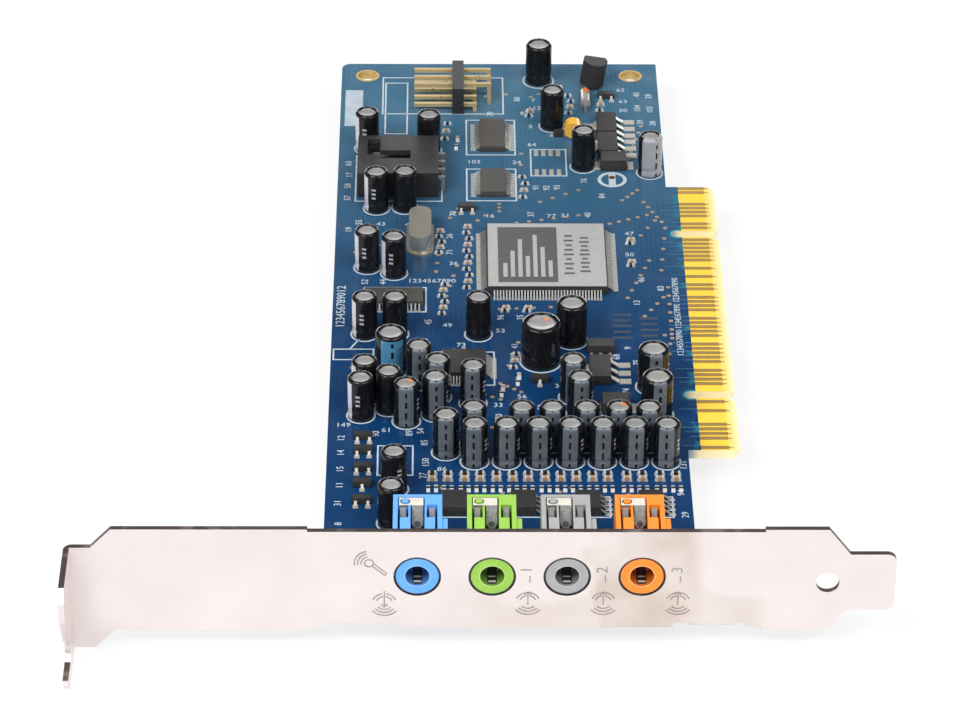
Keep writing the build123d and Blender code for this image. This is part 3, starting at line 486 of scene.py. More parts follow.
# Each number: its figures, its place and its turn.
NUMBERS = [
    ("12", 2.2, 43.0, 90), ("14", 2.2, 39.0, 90), ("15", 2.2, 34.6, 90), ("11", 2.2, 30.3, 90),
    ("31", 2.0, 25.6, 90), ("8", 2.2, 20.2, 90), ("150", 15.4, 36.4, 90), ("27", 15.0, 32.9, 90),
    ("21", 14.8, 26.6, 90), ("131", 55.3, 35.8, 90), ("23", 24.9, 16.6, 0), ("20", 52.8, 18.4, 0),
    ("2", 35.6, 18.8, 0), ("6", 45.9, 18.2, 0), ("29", 55.0, 22.6, 90), ("18", 8.4, 17.0, 90),
    ("149", 2.4, 46.6, 0), ("61", 9.2, 45.2, 0), ("54", 14.6, 45.0, 90), ("87", 19.0, 45.2, 0),
    ("33", 26.8, 52.2, 0), ("70", 26.9, 49.0, 90), ("32", 36.6, 57.6, 0), ("4", 30.0, 60.0, 0),
    ("10", 29.5, 66.4, 90), ("41", 29.7, 69.2, 90), ("73", 21.0, 69.4, 0), ("167", 14.4, 70.6, 0),
    ("96", 27.5, 77.6, 90), ("35", 30.7, 77.6, 90), ("68", 46.0, 66.0, 90), ("9", 47.9, 68.6, 90),
    ("45", 15.7, 76.2, 90), ("81", 14.2, 68.6, 0), ("1234567890", 16.2, 88.6, 0), ("52", 5.2, 88.3, 90),
    ("44", 8.2, 88.3, 90), ("36", 19.8, 94.0, 0), ("71", 19.2, 97.6, 90), ("26", 19.2, 102.6, 90),
    ("55", 3.9, 107.0, 90), ("57", 1.8, 114.8, 90), ("58", 1.8, 118.8, 90), ("60", 1.8, 126.2, 90),
    ("103", 23.4, 126.8, 0), ("24", 30.8, 126.6, 0), ("16", 26.0, 109.0, 0), ("37", 33.0, 109.6, 90),
    ("40", 42.6, 109.4, 90), ("77", 36.4, 109.0, 0), ("51", 38.8, 109.2, 0), ("91", 34.0, 118.4, 90),
    ("92", 35.8, 118.2, 90), ("93", 37.6, 118.4, 90), ("76", 42.3, 120.6, 90), ("84", 45.2, 115.6, 90),
    ("30", 49.8, 144.4, 0), ("112", 34.2, 145.2, 0), ("7", 34.0, 147.9, 0), ("65", 49.6, 151.6, 0),
    ("63", 49.9, 147.6, 0), ("64", 33.5, 132.6, 0), ("5", 33.4, 138.8, 0), ("50", 49.2, 96.8, 0),
    ("47", 49.4, 103.4, 0), ("13", 49.9, 82.0, 90), ("83", 54.0, 86.4, 90), ("25", 42.2, 47.4, 90),
    ("46", 50.9, 89.0, 90), ("72", 33.4, 76.8, 90), ("66", 36.0, 77.4, 90), ("40", 52.4, 150.0, 90),
    ("104", 52.4, 145.2, 90), ("39", 52.7, 140.4, 90), ("28", 54.5, 149.4, 90), ("105", 54.6, 144.8, 90),
    ("38", 54.9, 140.0, 90), ("17", 2.0, 122.4, 90), ("19", 2.2, 104.6, 90), ("43", 7.6, 106.4, 0),
    ("48", 12.4, 106.2, 0), ("49", 18.8, 75.2, 0), ("53", 27.4, 73.6, 0), ("56", 30.6, 54.6, 0),
    ("59", 33.6, 51.6, 90), ("62", 35.8, 46.0, 0), ("67", 30.6, 46.4, 0), ("69", 46.6, 46.2, 0),
    ("74", 47.2, 56.2, 90), ("75", 49.2, 64.4, 90), ("78", 19.8, 109.8, 90), ("79", 26.4, 143.2, 90),
    ("80", 31.2, 148.4, 90), ("82", 32.4, 143.4, 0), ("85", 15.2, 41.8, 90), ("86", 17.9, 34.6, 0),
    ("89", 12.8, 44.4, 90), ("90", 7.6, 44.2, 90), ("94", 54.6, 28.4, 90), ("95", 24.8, 26.2, 90)]
DIGIT_ROWS = [("123456789012", 2.1, 1.4, 80.8, 90), ("1234567890 1234567890 1234567890", 1.5, 56.4, 78.0, 90)]
LABEL_FIELD = (3.1, 12.5)
LABEL_PLACE = (2.35, 145.19)
DARK_ROW_WIDTH = 0.7
DARK_ROW_PITCH = 1.7
DARK_ROWS = [(47.2, 71.6 + DARK_ROW_PITCH * i, 3.2 - 0.4 * (i % 2)) for i in range(5)]
DARK_ROWS += [(51.6, 72.2 + DARK_ROW_PITCH * i, 2.6 + 0.4 * (i % 2)) for i in range(4)]


def ink_frame(x0, x1, y0, y1):
    """Printed rectangle between two pairs of edges."""
    drawn = flat_sheet(x1 - x0, y1 - y0)
    raise_outline(INK_LINE, INK)
    return set_out(drawn, [((x0 + x1) / 2, (y0 + y1) / 2)])


def number(text, size, depth):
    """Plain figures as a flat solid, centred on their own place."""
    bpy.ops.object.select_all(action="DESELECT")
    bpy.ops.object.text_add()
    figures = bpy.context.object
    figures.data.body = text
    figures.data.size = size * MM
    figures.data.align_x = "CENTER"
    figures.data.align_y = "CENTER"
    figures.data.resolution_u = 2
    figures.data.extrude = depth * MM / 2
    bpy.ops.object.convert(target="MESH")
    return bpy.context.object


ink = []
for edges in FRAMES:
    ink += ink_frame(*edges)
for inner, outer, sides, places in CAN_RINGS:
    ink += set_out(flat_ring(inner, outer, INK, sides), places)
ink += set_out(slab(INK_LINE, SLANT_LENGTH, INK), [SLANT_SPOT])
for text, size, x, y, turn in [(text, NUMBER_SIZE, *spot) for text, *spot in NUMBERS] + DIGIT_ROWS:
    ink += set_out(number(text, size, INK), [(x, y, INK / 2, turn)])
white_ink = finish("white_print", (0.46, 0.52, 0.56), (0.32, 0.38, 0.43), 1100, 0.6, (0.5, 0.7), 0.0, 0.2)
gather("printed_marks", ink, white_ink)
label = set_out(slab(*LABEL_FIELD, INK), [LABEL_PLACE])
field_ink = finish("label_field_ink", (0.36, 0.43, 0.48), (0.26, 0.33, 0.39), 500, 0.7, (0.5, 0.7), 0.0, 0.2)
gather("label_field", label, field_ink)
# Faint dark bars by the tongue, drawn as thin flat dark slabs.
faint_rows = []
for x, y, length in DARK_ROWS:
    faint_rows += set_out(slab(length, DARK_ROW_WIDTH, INK), [(x, y)])
dark_bar_finish = finish("dark_bar_tone", (0.006, 0.018, 0.045), (0.01, 0.03, 0.08), 900, 0.8, (0.4, 0.6))
gather("faint_dark_bars", faint_rows, dark_bar_finish)

# Printed disc
# A round mark printed between the far regulator and the tongue: a white ring round a plain upright bar, the
# blue mask left open on both sides, and a dark red spot on the bar.
DISC_PLACE = (47.1, 120.94)
DISC_RING = (1.9, 2.5)
DISC_BAR = (1.2, 3.8)
SPOT_RING = (0.05, 0.55)
SPOT_SHIFT = 0.7
disc = set_out(flat_ring(*DISC_RING, INK, sides=36), [DISC_PLACE])
disc += set_out(slab(*DISC_BAR, INK), [DISC_PLACE])
gather("printed_disc", disc, white_ink)
spot_red = finish("dark_spot", (0.13, 0.03, 0.02), (0.06, 0.02, 0.02), 1500, 0.6, (0.5, 0.65))
disc_spot = set_out(flat_ring(*SPOT_RING, INK, sides=24), [(DISC_PLACE[0], DISC_PLACE[1] + SPOT_SHIFT, INK)])
gather("disc_spot", disc_spot, spot_red)

# Edge contacts
# Plated copper fingers on both faces of the tongue, rubbed to a brownish gold by earlier use. A narrow tail
# runs from each finger towards the tip, where the plating current was led in.
TAIL_LENGTH = 0.62
TAIL_WIDTH = 0.24
CONTACT_END = (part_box("contacts_component_side")[1].x - board_low.x) / MM
finger_gold = finish("worn_contact_gold", (0.45, 0.29, 0.075), (0.3, 0.18, 0.04), 700, 0.7, (0.3, 0.5),
                     0.6, 0.15)
for name in ("contacts_component_side", "contacts_solder_side"):
    coat(name, finger_gold)
tail_spots = [(CONTACT_END + TAIL_LENGTH / 2, y, z) for y in contact_lines for z in (0, LOWER_FACE - FOIL)]
tails = set_out(slab(TAIL_LENGTH, TAIL_WIDTH, FOIL), tail_spots)
gather("contact_tails", tails, finger_gold)

# Bracket
# One sheet of nickel-plated steel, blanked and folded. Its cut edges are dark, and the face has faint brown
# stains under the two right jacks and along the lower edge.
NICKEL = (0.85, 0.775, 0.76)
NICKEL_DULL = (0.78, 0.7, 0.685)
CUT_EDGE = (0.105, 0.075, 0.068)
CUT_EDGE_PALE = (0.3, 0.24, 0.22)
STAIN = (0.64, 0.545, 0.47)
STAIN_LEFT = (-25.4 * MM, -22.6 * MM)
STAIN_RIGHT = (-7.6 * MM, -10.6 * MM)
LOW_STAIN_LEFT = (-52 * MM, -40 * MM)
LOW_STAIN_RIGHT = (2.5 * MM, -1.0 * MM)
LOW_STAIN_TOP = (4.0 * MM, 1.4 * MM)
LOW_STAIN_SHARE = 0.45
RAGGED_REACH = 14 * MM
TAB_FACE_X = -100.4 * MM
FOLD_Y = -40.3 * MM


def nickel_finish():
    """Plating with ragged stains, and dark streaky metal on the edges that were cut after plating."""
    recipe = Recipe("bracket_nickel_plate")
    vector, where = recipe.place()
    x, y, z = where
    normal = recipe.normal()
    plate, grain = recipe.grain(NICKEL, NICKEL_DULL, 120, 0.45)
    cloud = recipe.noise(vector, 75, 6)
    ragged = recipe.math("MULTIPLY", recipe.math("SUBTRACT", cloud, 0.5), RAGGED_REACH)
    along = recipe.math("ADD", x, ragged)
    above = recipe.math("ADD", z, ragged)
    patch = recipe.both(recipe.ramp(along, *STAIN_LEFT), recipe.ramp(along, *STAIN_RIGHT))
    band = recipe.both(recipe.ramp(along, *LOW_STAIN_LEFT), recipe.ramp(along, *LOW_STAIN_RIGHT))
    low_band = recipe.both(recipe.ramp(above, *LOW_STAIN_TOP), band)
    marks = recipe.math("MAXIMUM", patch, recipe.math("MULTIPLY", low_band, LOW_STAIN_SHARE))
    blotch = recipe.math("MULTIPLY_ADD", recipe.ramp(cloud, 0.34, 0.62), 0.65, 0.32)
    face = recipe.blend(recipe.both(marks, blotch), plate, STAIN)
    cut = recipe.math("LESS_THAN", recipe.math("ABSOLUTE", normal["Y"]), 0.35)
    sideways = recipe.math("GREATER_THAN", recipe.math("ABSOLUTE", normal["X"]), 0.9)
    on_tab = recipe.both(sideways, recipe.math("LESS_THAN", x, TAB_FACE_X))
    folded = recipe.math("GREATER_THAN", y, FOLD_Y)
    bare = recipe.math("SUBTRACT", 1.0, recipe.math("MAXIMUM", on_tab, folded))
    streak = recipe.ramp(recipe.noise(vector, 260, 3), 0.5, 0.66)
    edge_tone = recipe.blend(streak, CUT_EDGE, CUT_EDGE_PALE)
    recipe.surface(recipe.blend(recipe.both(cut, bare), face, edge_tone), grain, (0.3, 0.46), 0.08)
    return recipe.done(metallic=0.8)


coat("bracket", nickel_finish())

# Signs stamped on the bracket
# Signs in low relief on the outer face: a microphone and an arrow with waves beside the first jack, and a
# dash, a figure and an arrow with waves beside each of the other three.
BRACKET_FACE = -41.6
STAMP_PROUD = 0.05
STAMP_LINE = 0.19
STAMP_EDGE = 0.02
ARROW_UP = (1.9, -0.5, -0.5)
ARROW_DOWN = (-0.7, 2.2, 0.5)
BARB_REACH = 0.45
LOWER_WAVES = (1.15, 1.7, 2.25)
LOWER_ARC = (218, 322)
UPPER_WAVES = (1.2, 1.75)
UPPER_ARCS = ((22, 80), (100, 158))
SOUND_WAVES = (1.15, 1.65, 2.15)
SOUND_ARC = (100, 190)
HEAD_RADIUS = 0.65
HEAD_ARC = (0, 359)
HANDLE_LINES = ((0.45, -0.5, 2.3, -2.2), (0.75, -0.15, 2.6, -1.85), (2.3, -2.2, 2.6, -1.85))
MICROPHONE_PLACE = (-57.2, 8.3)
INPUT_WAVES_PLACE = (-55.0, 1.0)
OUTPUT_SIGNS = (-34.2, -23.1, -12.1)
FIGURE_SIZE = 2.4
FIGURE_PLACE = (0.15, 7.1)
DASH_HALF = 0.6
DASH_PLACE = (0.6, 5.4)
OUTPUT_WAVES_PLACE = (0.35, 1.2)


def stamped_arc(radius, start, end, steps=14):
    """Curved ridge: a short bar spun about the sign's centre. Angles run from +X towards up, in degrees."""
    arc = flat_sheet(1, 1)
    mesh = bmesh.from_edit_mesh(arc.data)
    inner = radius - STAMP_LINE / 2
    outer = radius + STAMP_LINE / 2
    corners = [(inner, 0), (outer, 0), (outer, STAMP_PROUD), (inner, STAMP_PROUD)]
    turn = Matrix.Rotation(-math.radians(start), 3, "Y")
    mesh.faces.ensure_lookup_table()
    for vert, (reach, rise) in zip(mesh.faces[0].verts, corners):
        vert.co = turn @ Vector((reach * MM, -rise * MM, 0))
    bmesh.update_edit_mesh(arc.data)
    bpy.ops.mesh.select_all(action="SELECT")
    bpy.ops.mesh.spin(steps=steps, angle=math.radians(end - start), center=(0, 0, 0), axis=(0, 1, 0))
    bpy.ops.mesh.select_all(action="SELECT")
    bpy.ops.mesh.remove_doubles(threshold=0.001 * MM)
    close_shell()
    return arc


def stand_up(part, slope):
    """Turn a flat shape to face the front, sloped by an angle from +X towards up."""
    upright = Matrix.Rotation(math.radians(90), 4, "X")
    part.data.transform(Matrix.Rotation(-slope, 4, "Y") @ upright)
    return part


def move(part, x, y, z):
    """Shift a shape within its own mesh, in millimetres."""
    part.data.transform(Matrix.Translation((x * MM, y * MM, z * MM)))
    return part


def stamped_bar(x0, z0, x1, z1):
    """Straight ridge between two points of the sign."""
    bar = slab(math.hypot(x1 - x0, z1 - z0), STAMP_LINE, STAMP_PROUD, STAMP_EDGE)
    return move(stand_up(bar, math.atan2(z1 - z0, x1 - x0)), (x0 + x1) / 2, 0, (z0 + z1) / 2)


def put_sign(parts, x, z):
    return [move(part, x, BRACKET_FACE, z) for part in parts]


def wave_sign(tip, tail, barb_rise):
    """Arrow between two sets of waves."""
    parts = [stamped_bar(0, tail, 0, tip)]
    parts += [stamped_bar(0, tip, side * BARB_REACH, tip + barb_rise) for side in (-1, 1)]
    parts += [stamped_arc(radius, *LOWER_ARC) for radius in LOWER_WAVES]
    for radius in UPPER_WAVES:
        parts += [stamped_arc(radius, *ends, steps=8) for ends in UPPER_ARCS]
    return parts


def microphone_sign():
    """Round head on a handle, with three waves beside it."""
    parts = [stamped_arc(HEAD_RADIUS, *HEAD_ARC)]
    parts += [stamped_bar(*ends) for ends in HANDLE_LINES]
    parts += [stamped_arc(radius, *SOUND_ARC) for radius in SOUND_WAVES]
    return parts


signs = put_sign(microphone_sign(), *MICROPHONE_PLACE)
signs += put_sign(wave_sign(*ARROW_DOWN), *INPUT_WAVES_PLACE)
for index, x in enumerate(OUTPUT_SIGNS):
    figure = stand_up(number(str(index + 1), FIGURE_SIZE, STAMP_PROUD), math.radians(90))
    dash = stamped_bar(0, -DASH_HALF, 0, DASH_HALF)
    for parts, (aside, height) in (([figure], FIGURE_PLACE), ([dash], DASH_PLACE),
                                   (wave_sign(*ARROW_UP), OUTPUT_WAVES_PLACE)):
        signs += put_sign(parts, x + aside, height)
# The signs are painted darker than the plate: painted shade along the stamped relief.
stamp_shade = finish("stamped_nickel_painted_shade", (0.4, 0.35, 0.33), (0.2, 0.165, 0.155), 900, 0.7, (0.35, 0.5),
                     0.4, 0.2)
gather("bracket_signs", signs, stamp_shade)

# Bracket screw
# A small pan-head machine screw of zinc-plated steel. It holds the board down on the bracket's upper tab,
# beside the first jack.
screw_zinc = finish("screw_zinc", (0.66, 0.65, 0.62), (0.5, 0.49, 0.47), 800, 0.5, (0.28, 0.42), 0.9, 0.2)
coat("bracket_screw", screw_zinc)

# Audio jacks
# Moulded housings in the four port colours, each with a round nose through the bracket. The springs are
# stamped from nickel silver: a tip spring down the middle and a leaf in each side channel.
JACK_COLOURS = {
    "blue": (-50.13, (0.115, 0.36, 0.83), (0.085, 0.29, 0.72)),
    "green": (-39.13, (0.27, 0.5, 0.065), (0.215, 0.42, 0.05)),
    "grey": (-28.13, (0.33, 0.335, 0.335), (0.27, 0.275, 0.275)),
    "orange": (-17.13, (0.93, 0.24, 0.016), (0.82, 0.19, 0.012))}
# Painted light on the housings: painted shade in the bore and round the nose's edge, and a painted highlight
# on the bore's lip.
RIM_SHADE = (0.035, 0.035, 0.04)
BORE_PAINTED_SHADE = 0.5
LIP_PAINTED_HIGHLIGHT = 0.14
JACK_AXIS_HEIGHT = 5.85
NOSE_FACE = -41.5
FACE_DEPTH = 0.02
BORE_RADIUS = 1.8
BORE_MARGIN = 0.05
LIP_WIDTH = 0.14
NOSE_RADIUS = 3.3
RIM_WIDTH = 0.17
SPRING_END = (-31.69, 8.2)
SPRING_SLOPE = 41.5
DIMPLE_RING = (0.04, 0.45)
DIMPLE_THICKNESS = 0.03
CHANNEL = (1.4, 4.0, 0.25, 0.05)
CHANNEL_DEPTH = 2.5
CHANNEL_LEVEL = 4.08
BORE_CONTACT = (1.16, 0.32, 0.1, 0.04)
BORE_CONTACT_DEPTHS = (0.75, 1.95)
BORE_CONTACT_LEVEL = 4.33


def jack_finish(name, axis, colour, shade):
    """Moulded plastic, darker in the bore as painted shade, a little lighter on its lip as a painted
    highlight and dark round the nose's edge as painted shade.
    """
    recipe = Recipe(f"jack_plastic_{name}")
    x, y, z = recipe.place()[1]
    tint, grain = recipe.grain(colour, shade, 500, 0.6)
    aside = recipe.math("SUBTRACT", x, axis * MM)
    above = recipe.math("SUBTRACT", z, JACK_AXIS_HEIGHT * MM)
    from_axis = recipe.length(aside, above)
    face_end = (NOSE_FACE + FACE_DEPTH) * MM
    on_face = recipe.math("LESS_THAN", y, face_end)
    bore = recipe.math("LESS_THAN", from_axis, (BORE_RADIUS + BORE_MARGIN) * MM)
    inside = recipe.both(bore, recipe.math("GREATER_THAN", y, face_end))
    lip = recipe.math("LESS_THAN", from_axis, (BORE_RADIUS + LIP_WIDTH) * MM)
    rim_line = recipe.math("GREATER_THAN", from_axis, (NOSE_RADIUS - RIM_WIDTH) * MM)
    # Painted shade for the bore and a painted highlight for its lip.
    dark = tuple(value * BORE_PAINTED_SHADE for value in colour)
    pale = tuple(value + (1 - value) * LIP_PAINTED_HIGHLIGHT for value in colour)
    tint = recipe.blend(recipe.both(on_face, lip), tint, pale)
    tint = recipe.blend(recipe.both(on_face, rim_line), tint, RIM_SHADE)
    recipe.surface(recipe.blend(inside, tint, dark), grain, (0.34, 0.5), 0.1)
    return recipe.done(specular=0.4)


def spring_finish():
    """Nickel silver, bright on the flat plates and greyer where it slopes down out of the light, as painted
    shade.
    """
    recipe = Recipe("spring_silver")
    bright = recipe.grain((0.74, 0.7, 0.6), (0.6, 0.57, 0.5), 700, 0.6)[0]
    sloped_shade_tone, speckle = recipe.grain((0.13, 0.13, 0.125), (0.24, 0.235, 0.225), 2600, 0.8)
    # Painted shade: sloped faces take the grey tone, flat faces the bright one.
    painted_slope_shade = recipe.ramp(recipe.normal()["Z"], 0.95, 0.8)
    recipe.surface(recipe.blend(painted_slope_shade, bright, sloped_shade_tone), speckle, (0.45, 0.6), 0.15)
    return recipe.done(0.25, 0.3)


spring_silver = spring_finish()
dimples = []
channels = []
bore_contacts = []
for name, (axis, colour, shade) in JACK_COLOURS.items():
    coat(f"jack_housing_{name}", jack_finish(name, axis, colour, shade))
    coat(f"jack_springs_{name}", spring_silver)
    dimple = flat_ring(*DIMPLE_RING, DIMPLE_THICKNESS, sides=20)
    dimple.data.transform(Matrix.Rotation(math.radians(SPRING_SLOPE), 4, "X"))
    dimples.append(move(dimple, axis, *SPRING_END))
    channels.append(move(slab(*CHANNEL), axis, NOSE_FACE + CHANNEL_DEPTH, CHANNEL_LEVEL))
    for depth in BORE_CONTACT_DEPTHS:
        bore_contacts.append(move(slab(*BORE_CONTACT), axis, NOSE_FACE + depth, BORE_CONTACT_LEVEL))
shaded_metal = finish("shaded_metal", (0.04, 0.04, 0.038), (0.02, 0.02, 0.019), 900, 0.6, (0.35, 0.5), 0.5)
gather("spring_dimples", dimples, shaded_metal)
# A black slab on the floor of each bore: painted shade for the shaded spring channel.
bore_channel_shade = finish("bore_channel_shade", (0.008, 0.008, 0.009), (0.014, 0.014, 0.015), 900, 0.6, (0.5, 0.7))
gather("bore_channel_shades", channels, bore_channel_shade)
gather("bore_contacts", bore_contacts, spring_silver)

# Chip packages and their leads
# Black moulded epoxy with a dull mould finish, a little warmer on the three converters. The tin-plated leads
# are formed outwards and down, and soldered to tinned lands on the board.
epoxy = finish("chip_epoxy", (0.02, 0.02, 0.021), (0.034, 0.033, 0.032), 1300, 0.7, (0.5, 0.68),
               0.0, 0.35, 0.3)
epoxy_warm = finish("worn_chip_epoxy", (0.045, 0.041, 0.037), (0.068, 0.063, 0.057), 900, 0.6, (0.5, 0.66),
                    0.0, 0.3, 0.3)
lead_tin = finish("lead_tin", (0.43, 0.42, 0.39), (0.3, 0.295, 0.27), 1500, 0.6, (0.28, 0.45), 0.65, 0.2)
for name in ("processor_body", "codec_body", "op_amp_bodies", "regulator_bodies", "reference_body",
             "transistor_bodies", "power_diode_bodies", "signal_diode", "standing_transistor_body"):
    coat(name, epoxy)
coat("converter_bodies", epoxy_warm)
for name in ("processor_leads", "codec_leads", "converter_leads", "op_amp_leads", "regulator_leads",
             "reference_leads", "transistor_leads", "power_diode_terminals", "standing_transistor_leads",
             "glass_diode_leads", "dipped_capacitor_leads"):
    coat(name, lead_tin)
PROCESSOR_PLACE = (35.27, 94.44)
CODEC_PLACE = (21.5, 62.64)
CONVERTERS = [((26.65, 134.99), 14, 0), ((26.65, 119.04), 12, 0), ((9.95, 82.84), 14, 90)]
REGULATORS = [(46.65, 137.94), (46.65, 131.24), (43.15, 61.14)]
REFERENCE_PLACE = (43.45, 68.09)
TWO_LEADS_NEAR = [(5.65, 43.04), (5.65, 39.24), (5.65, 34.64), (22.1, 111.14), (46.9, 149.04)]
ONE_LEAD_NEAR = [(5.65, 30.34), (33.5, 59.04)]
FOUR_LEADS = (5.65, 25.94)
POWER_DIODES = [(47.45, 125.49), (45.3, 51.24)]
SIGNAL_DIODE = (38.2, 135.84)
FINE_LAND = (0.95, 0.34, 0.07, 0.03)
NARROW_LAND = (0.9, 0.38, 0.07, 0.03)
WIDE_LAND = (1.15, 0.62, 0.1, 0.05)
REGULATOR_LAND = (1.9, 1.35, 0.2, 0.12, 2)
TAB_LAND = (1.7, 3.5, 0.18, 0.12, 2)
REFERENCE_LAND = (1.2, 0.75, 0.15, 0.08)
SMALL_LAND = (0.9, 0.85, 0.18, 0.1, 2)
DIODE_LAND = (1.3, 2.5, 0.2, 0.12, 2)
FOUR_SIDES = (0, 90, 180, 270)
TWO_SIDES = (0, 180)
# Each entry: a land's size, the packages' places, reach, pitch, lands in a row and the turns of the rows.
LAND_ROWS = [(FINE_LAND, [PROCESSOR_PLACE], 11.2, 0.5, 36, FOUR_SIDES),
             (FINE_LAND, [CODEC_PLACE], 4.65, 0.5, 12, FOUR_SIDES)]
LAND_ROWS += [(NARROW_LAND, [place], 3.35, 0.65, count, (turn, turn + 180))
              for place, count, turn in CONVERTERS]
LAND_ROWS += [(WIDE_LAND, OP_AMPS, 3.15, EIGHT_LEAD_PITCH, 4, TWO_SIDES),
              (REGULATOR_LAND, REGULATORS, 4.0, 2.3, 3, (0,)),
              (TAB_LAND, REGULATORS, 3.2, 0, 1, (180,)),
              (REFERENCE_LAND, [REFERENCE_PLACE], 2.3, 1.5, 3, (270,)),
              (SMALL_LAND, TWO_LEADS_NEAR, 1.3, 1.9, 2, (270,)),
              (SMALL_LAND, TWO_LEADS_NEAR, 1.3, 0, 1, (90,)),
              (SMALL_LAND, ONE_LEAD_NEAR, 1.3, 1.9, 2, (90,)),
              (SMALL_LAND, ONE_LEAD_NEAR, 1.3, 0, 1, (270,)),
              (SMALL_LAND, [FOUR_LEADS], 1.3, 1.9, 2, (90, 270)),
              (SMALL_LAND, [SIGNAL_DIODE], 1.05, 0, 1, TWO_SIDES),
              (DIODE_LAND, POWER_DIODES, 2.8, 0, 1, TWO_SIDES)]


def land_spots(place, reach, pitch, count, turns):
    """Spots of rows of lands round a package, one row for each turn of its +X side."""
    spots = []
    for turn in turns:
        angle = math.radians(turn)
        for index in range(count):
            side = pitch * (index - (count - 1) / 2)
            x = place[0] + reach * math.cos(angle) - side * math.sin(angle)
            y = place[1] + reach * math.sin(angle) + side * math.cos(angle)
            spots.append((x, y, 0, turn))
    return spots


lands = []
for size, places, *row in LAND_ROWS:
    lands += set_out(slab(*size), [spot for place in places for spot in land_spots(place, *row)])
gather("tinned_lands", lands, tinned)

# Processor label
# A silver field printed over the whole top of the processor, with a dark panel of plain level bars and two
# scales of short bars beside it.
PROCESSOR_TOP = 1.5
LABEL_SIZE = 19.5
LABEL_THICKNESS = 0.04
PANEL_PLACE = (PROCESSOR_PLACE[0] - 3.15, PROCESSOR_PLACE[1])
PANEL_SIZE = (9.85, 17.0)
LEVELS = (4.2, 8.0, 11.6, 6.4, 13.0, 9.2, 5.0)
LEVEL_WIDTH = 0.7
LEVEL_PITCH = 1.25
LEVEL_FOOT = -7.0
SCALES = ((3.7, 1.45), (6.35, 1.3))
SCALE_LENGTHS = (1.7, 1.2, 1.5, 0.9, 1.7, 1.4, 1.1, 1.6, 1.3)
SCALE_WIDTH = 0.45
label_silver = finish("label_silver", (0.37, 0.375, 0.365), (0.31, 0.315, 0.305), 600, 0.5, (0.42, 0.56),
                      0.2, 0.1)
label_dark = finish("label_dark", (0.05, 0.051, 0.05), (0.066, 0.067, 0.065), 700, 0.5, (0.5, 0.62))
silver_field = set_out(slab(LABEL_SIZE, LABEL_SIZE, LABEL_THICKNESS), [(*PROCESSOR_PLACE, PROCESSOR_TOP)])
gather("processor_label", silver_field, label_silver)
level = PROCESSOR_TOP + LABEL_THICKNESS
dark_parts = set_out(slab(*PANEL_SIZE, LABEL_THICKNESS), [(*PANEL_PLACE, level)])
for offset, pitch in SCALES:
    for index, length in enumerate(SCALE_LENGTHS):
        y = PROCESSOR_PLACE[1] + pitch * (index - (len(SCALE_LENGTHS) - 1) / 2)
        dash = slab(length, SCALE_WIDTH, LABEL_THICKNESS)
        dark_parts += set_out(dash, [(PROCESSOR_PLACE[0] + offset, y, level)])
gather("processor_label_dark", dark_parts, label_dark)
bars = []
for index, length in enumerate(LEVELS):
    x = PANEL_PLACE[0] + (index - (len(LEVELS) - 1) / 2) * LEVEL_PITCH
    y = PANEL_PLACE[1] + LEVEL_FOOT + length / 2
    bars += set_out(slab(LEVEL_WIDTH, length, LABEL_THICKNESS), [(x, y, level + LABEL_THICKNESS)])
gather("processor_label_bars", bars, label_silver)

# Wound capacitors
# Drawn aluminium cans under a shrunk black sleeve that curls over the rim. Each sleeve but one has a printed
# stripe on its negative side, and a groove near the foot squeezes the seal.
CAN_SIDES = 36
SEAL_SHARE = 0.7
SEAL_LEVEL = 0.12
SLEEVE_START = 1.8
SLEEVE_ROWS = 13
LIP_START = 0.55
# Diameters and heights of the kinds of can, then their spots with the turn of the stripe.
SMALL_CAN = (4.1, 7.5)
LARGE_CAN = (5.0, 7.5)
WIDE_SIZE = (6.3, 7.7)
HEADER_SIZE = (4.6, 7.6)
NONPOLAR_SIZE = (4.1, 7.4)
SILVERY_SPOT = (*SILVERY_CAN, 0, 30)
BLUE_SPOT = (*BLUE_LARGE, 0, 6)
DARK_SPOT = (*DARK_LARGE, 0, 170)
WIDE_SPOT = (*WIDE_CAN, 0, 160)
HEADER_SPOT = (*HEADER_CAN, 0, 180)
NONPOLAR_SPOT = (*NONPOLAR_CAN, 0, -40)
facing_spots = [(*place, 0, 5 * (i % 3 - 1)) for i, place in enumerate(facing_cans)]
side_spots = [(*place, 0, -78) for place in PALE_CANS]
away_spots = [(*place, 0, 150 + 12 * (i % 3)) for i, place in enumerate(DARK_CANS)]
large_spots = [(*place, 0, 9) for place in GREY_LARGE]
# Rings of the can's outline: a share of its radius, then the height over the board or the drop from the top.
FOOT_RINGS = [(0.8, 0.0), (0.9, 0.0), (0.98, 0.22), (1.0, 0.5), (1.0, 0.95), (0.945, 1.25), (0.945, 1.45),
              (1.0, SLEEVE_START)]
LIP_RINGS = [(0.985, 0.36), (0.95, 0.19), (0.9, 0.085), (0.84, 0.02), (0.78, 0.0), (0.73, 0.05), (0.7, 0.18),
             (0.68, 0.3), (0.3, 0.28)]
RUBBER_TOP = 0.15
METAL_SHARE = 0.67
LIP_SHARE = 0.72
STRIPE_START = 0.3
STRIPE_GAP = 0.7
DASH_TURN = 4
DASH_ROWS = (0, 1, 2, 5, 6, 7, 10, 11)
FOOT_DASH_TOP = 0.95
RIM_DASH_DROP = 0.1
PRINT_TURNS = (58, 78)
PRINT_ROWS = (3, 5, 7)
sleeve_black = finish("sleeve_black", (0.006, 0.006, 0.007), (0.01, 0.01, 0.012), 500, 0.6, (0.06, 0.13),
                      0.0, 0.05, 0.28)
can_aluminium = finish("can_aluminium", (0.35, 0.35, 0.345), (0.23, 0.23, 0.225), 260, 0.8, (0.4, 0.54),
                       0.35, 0.15)
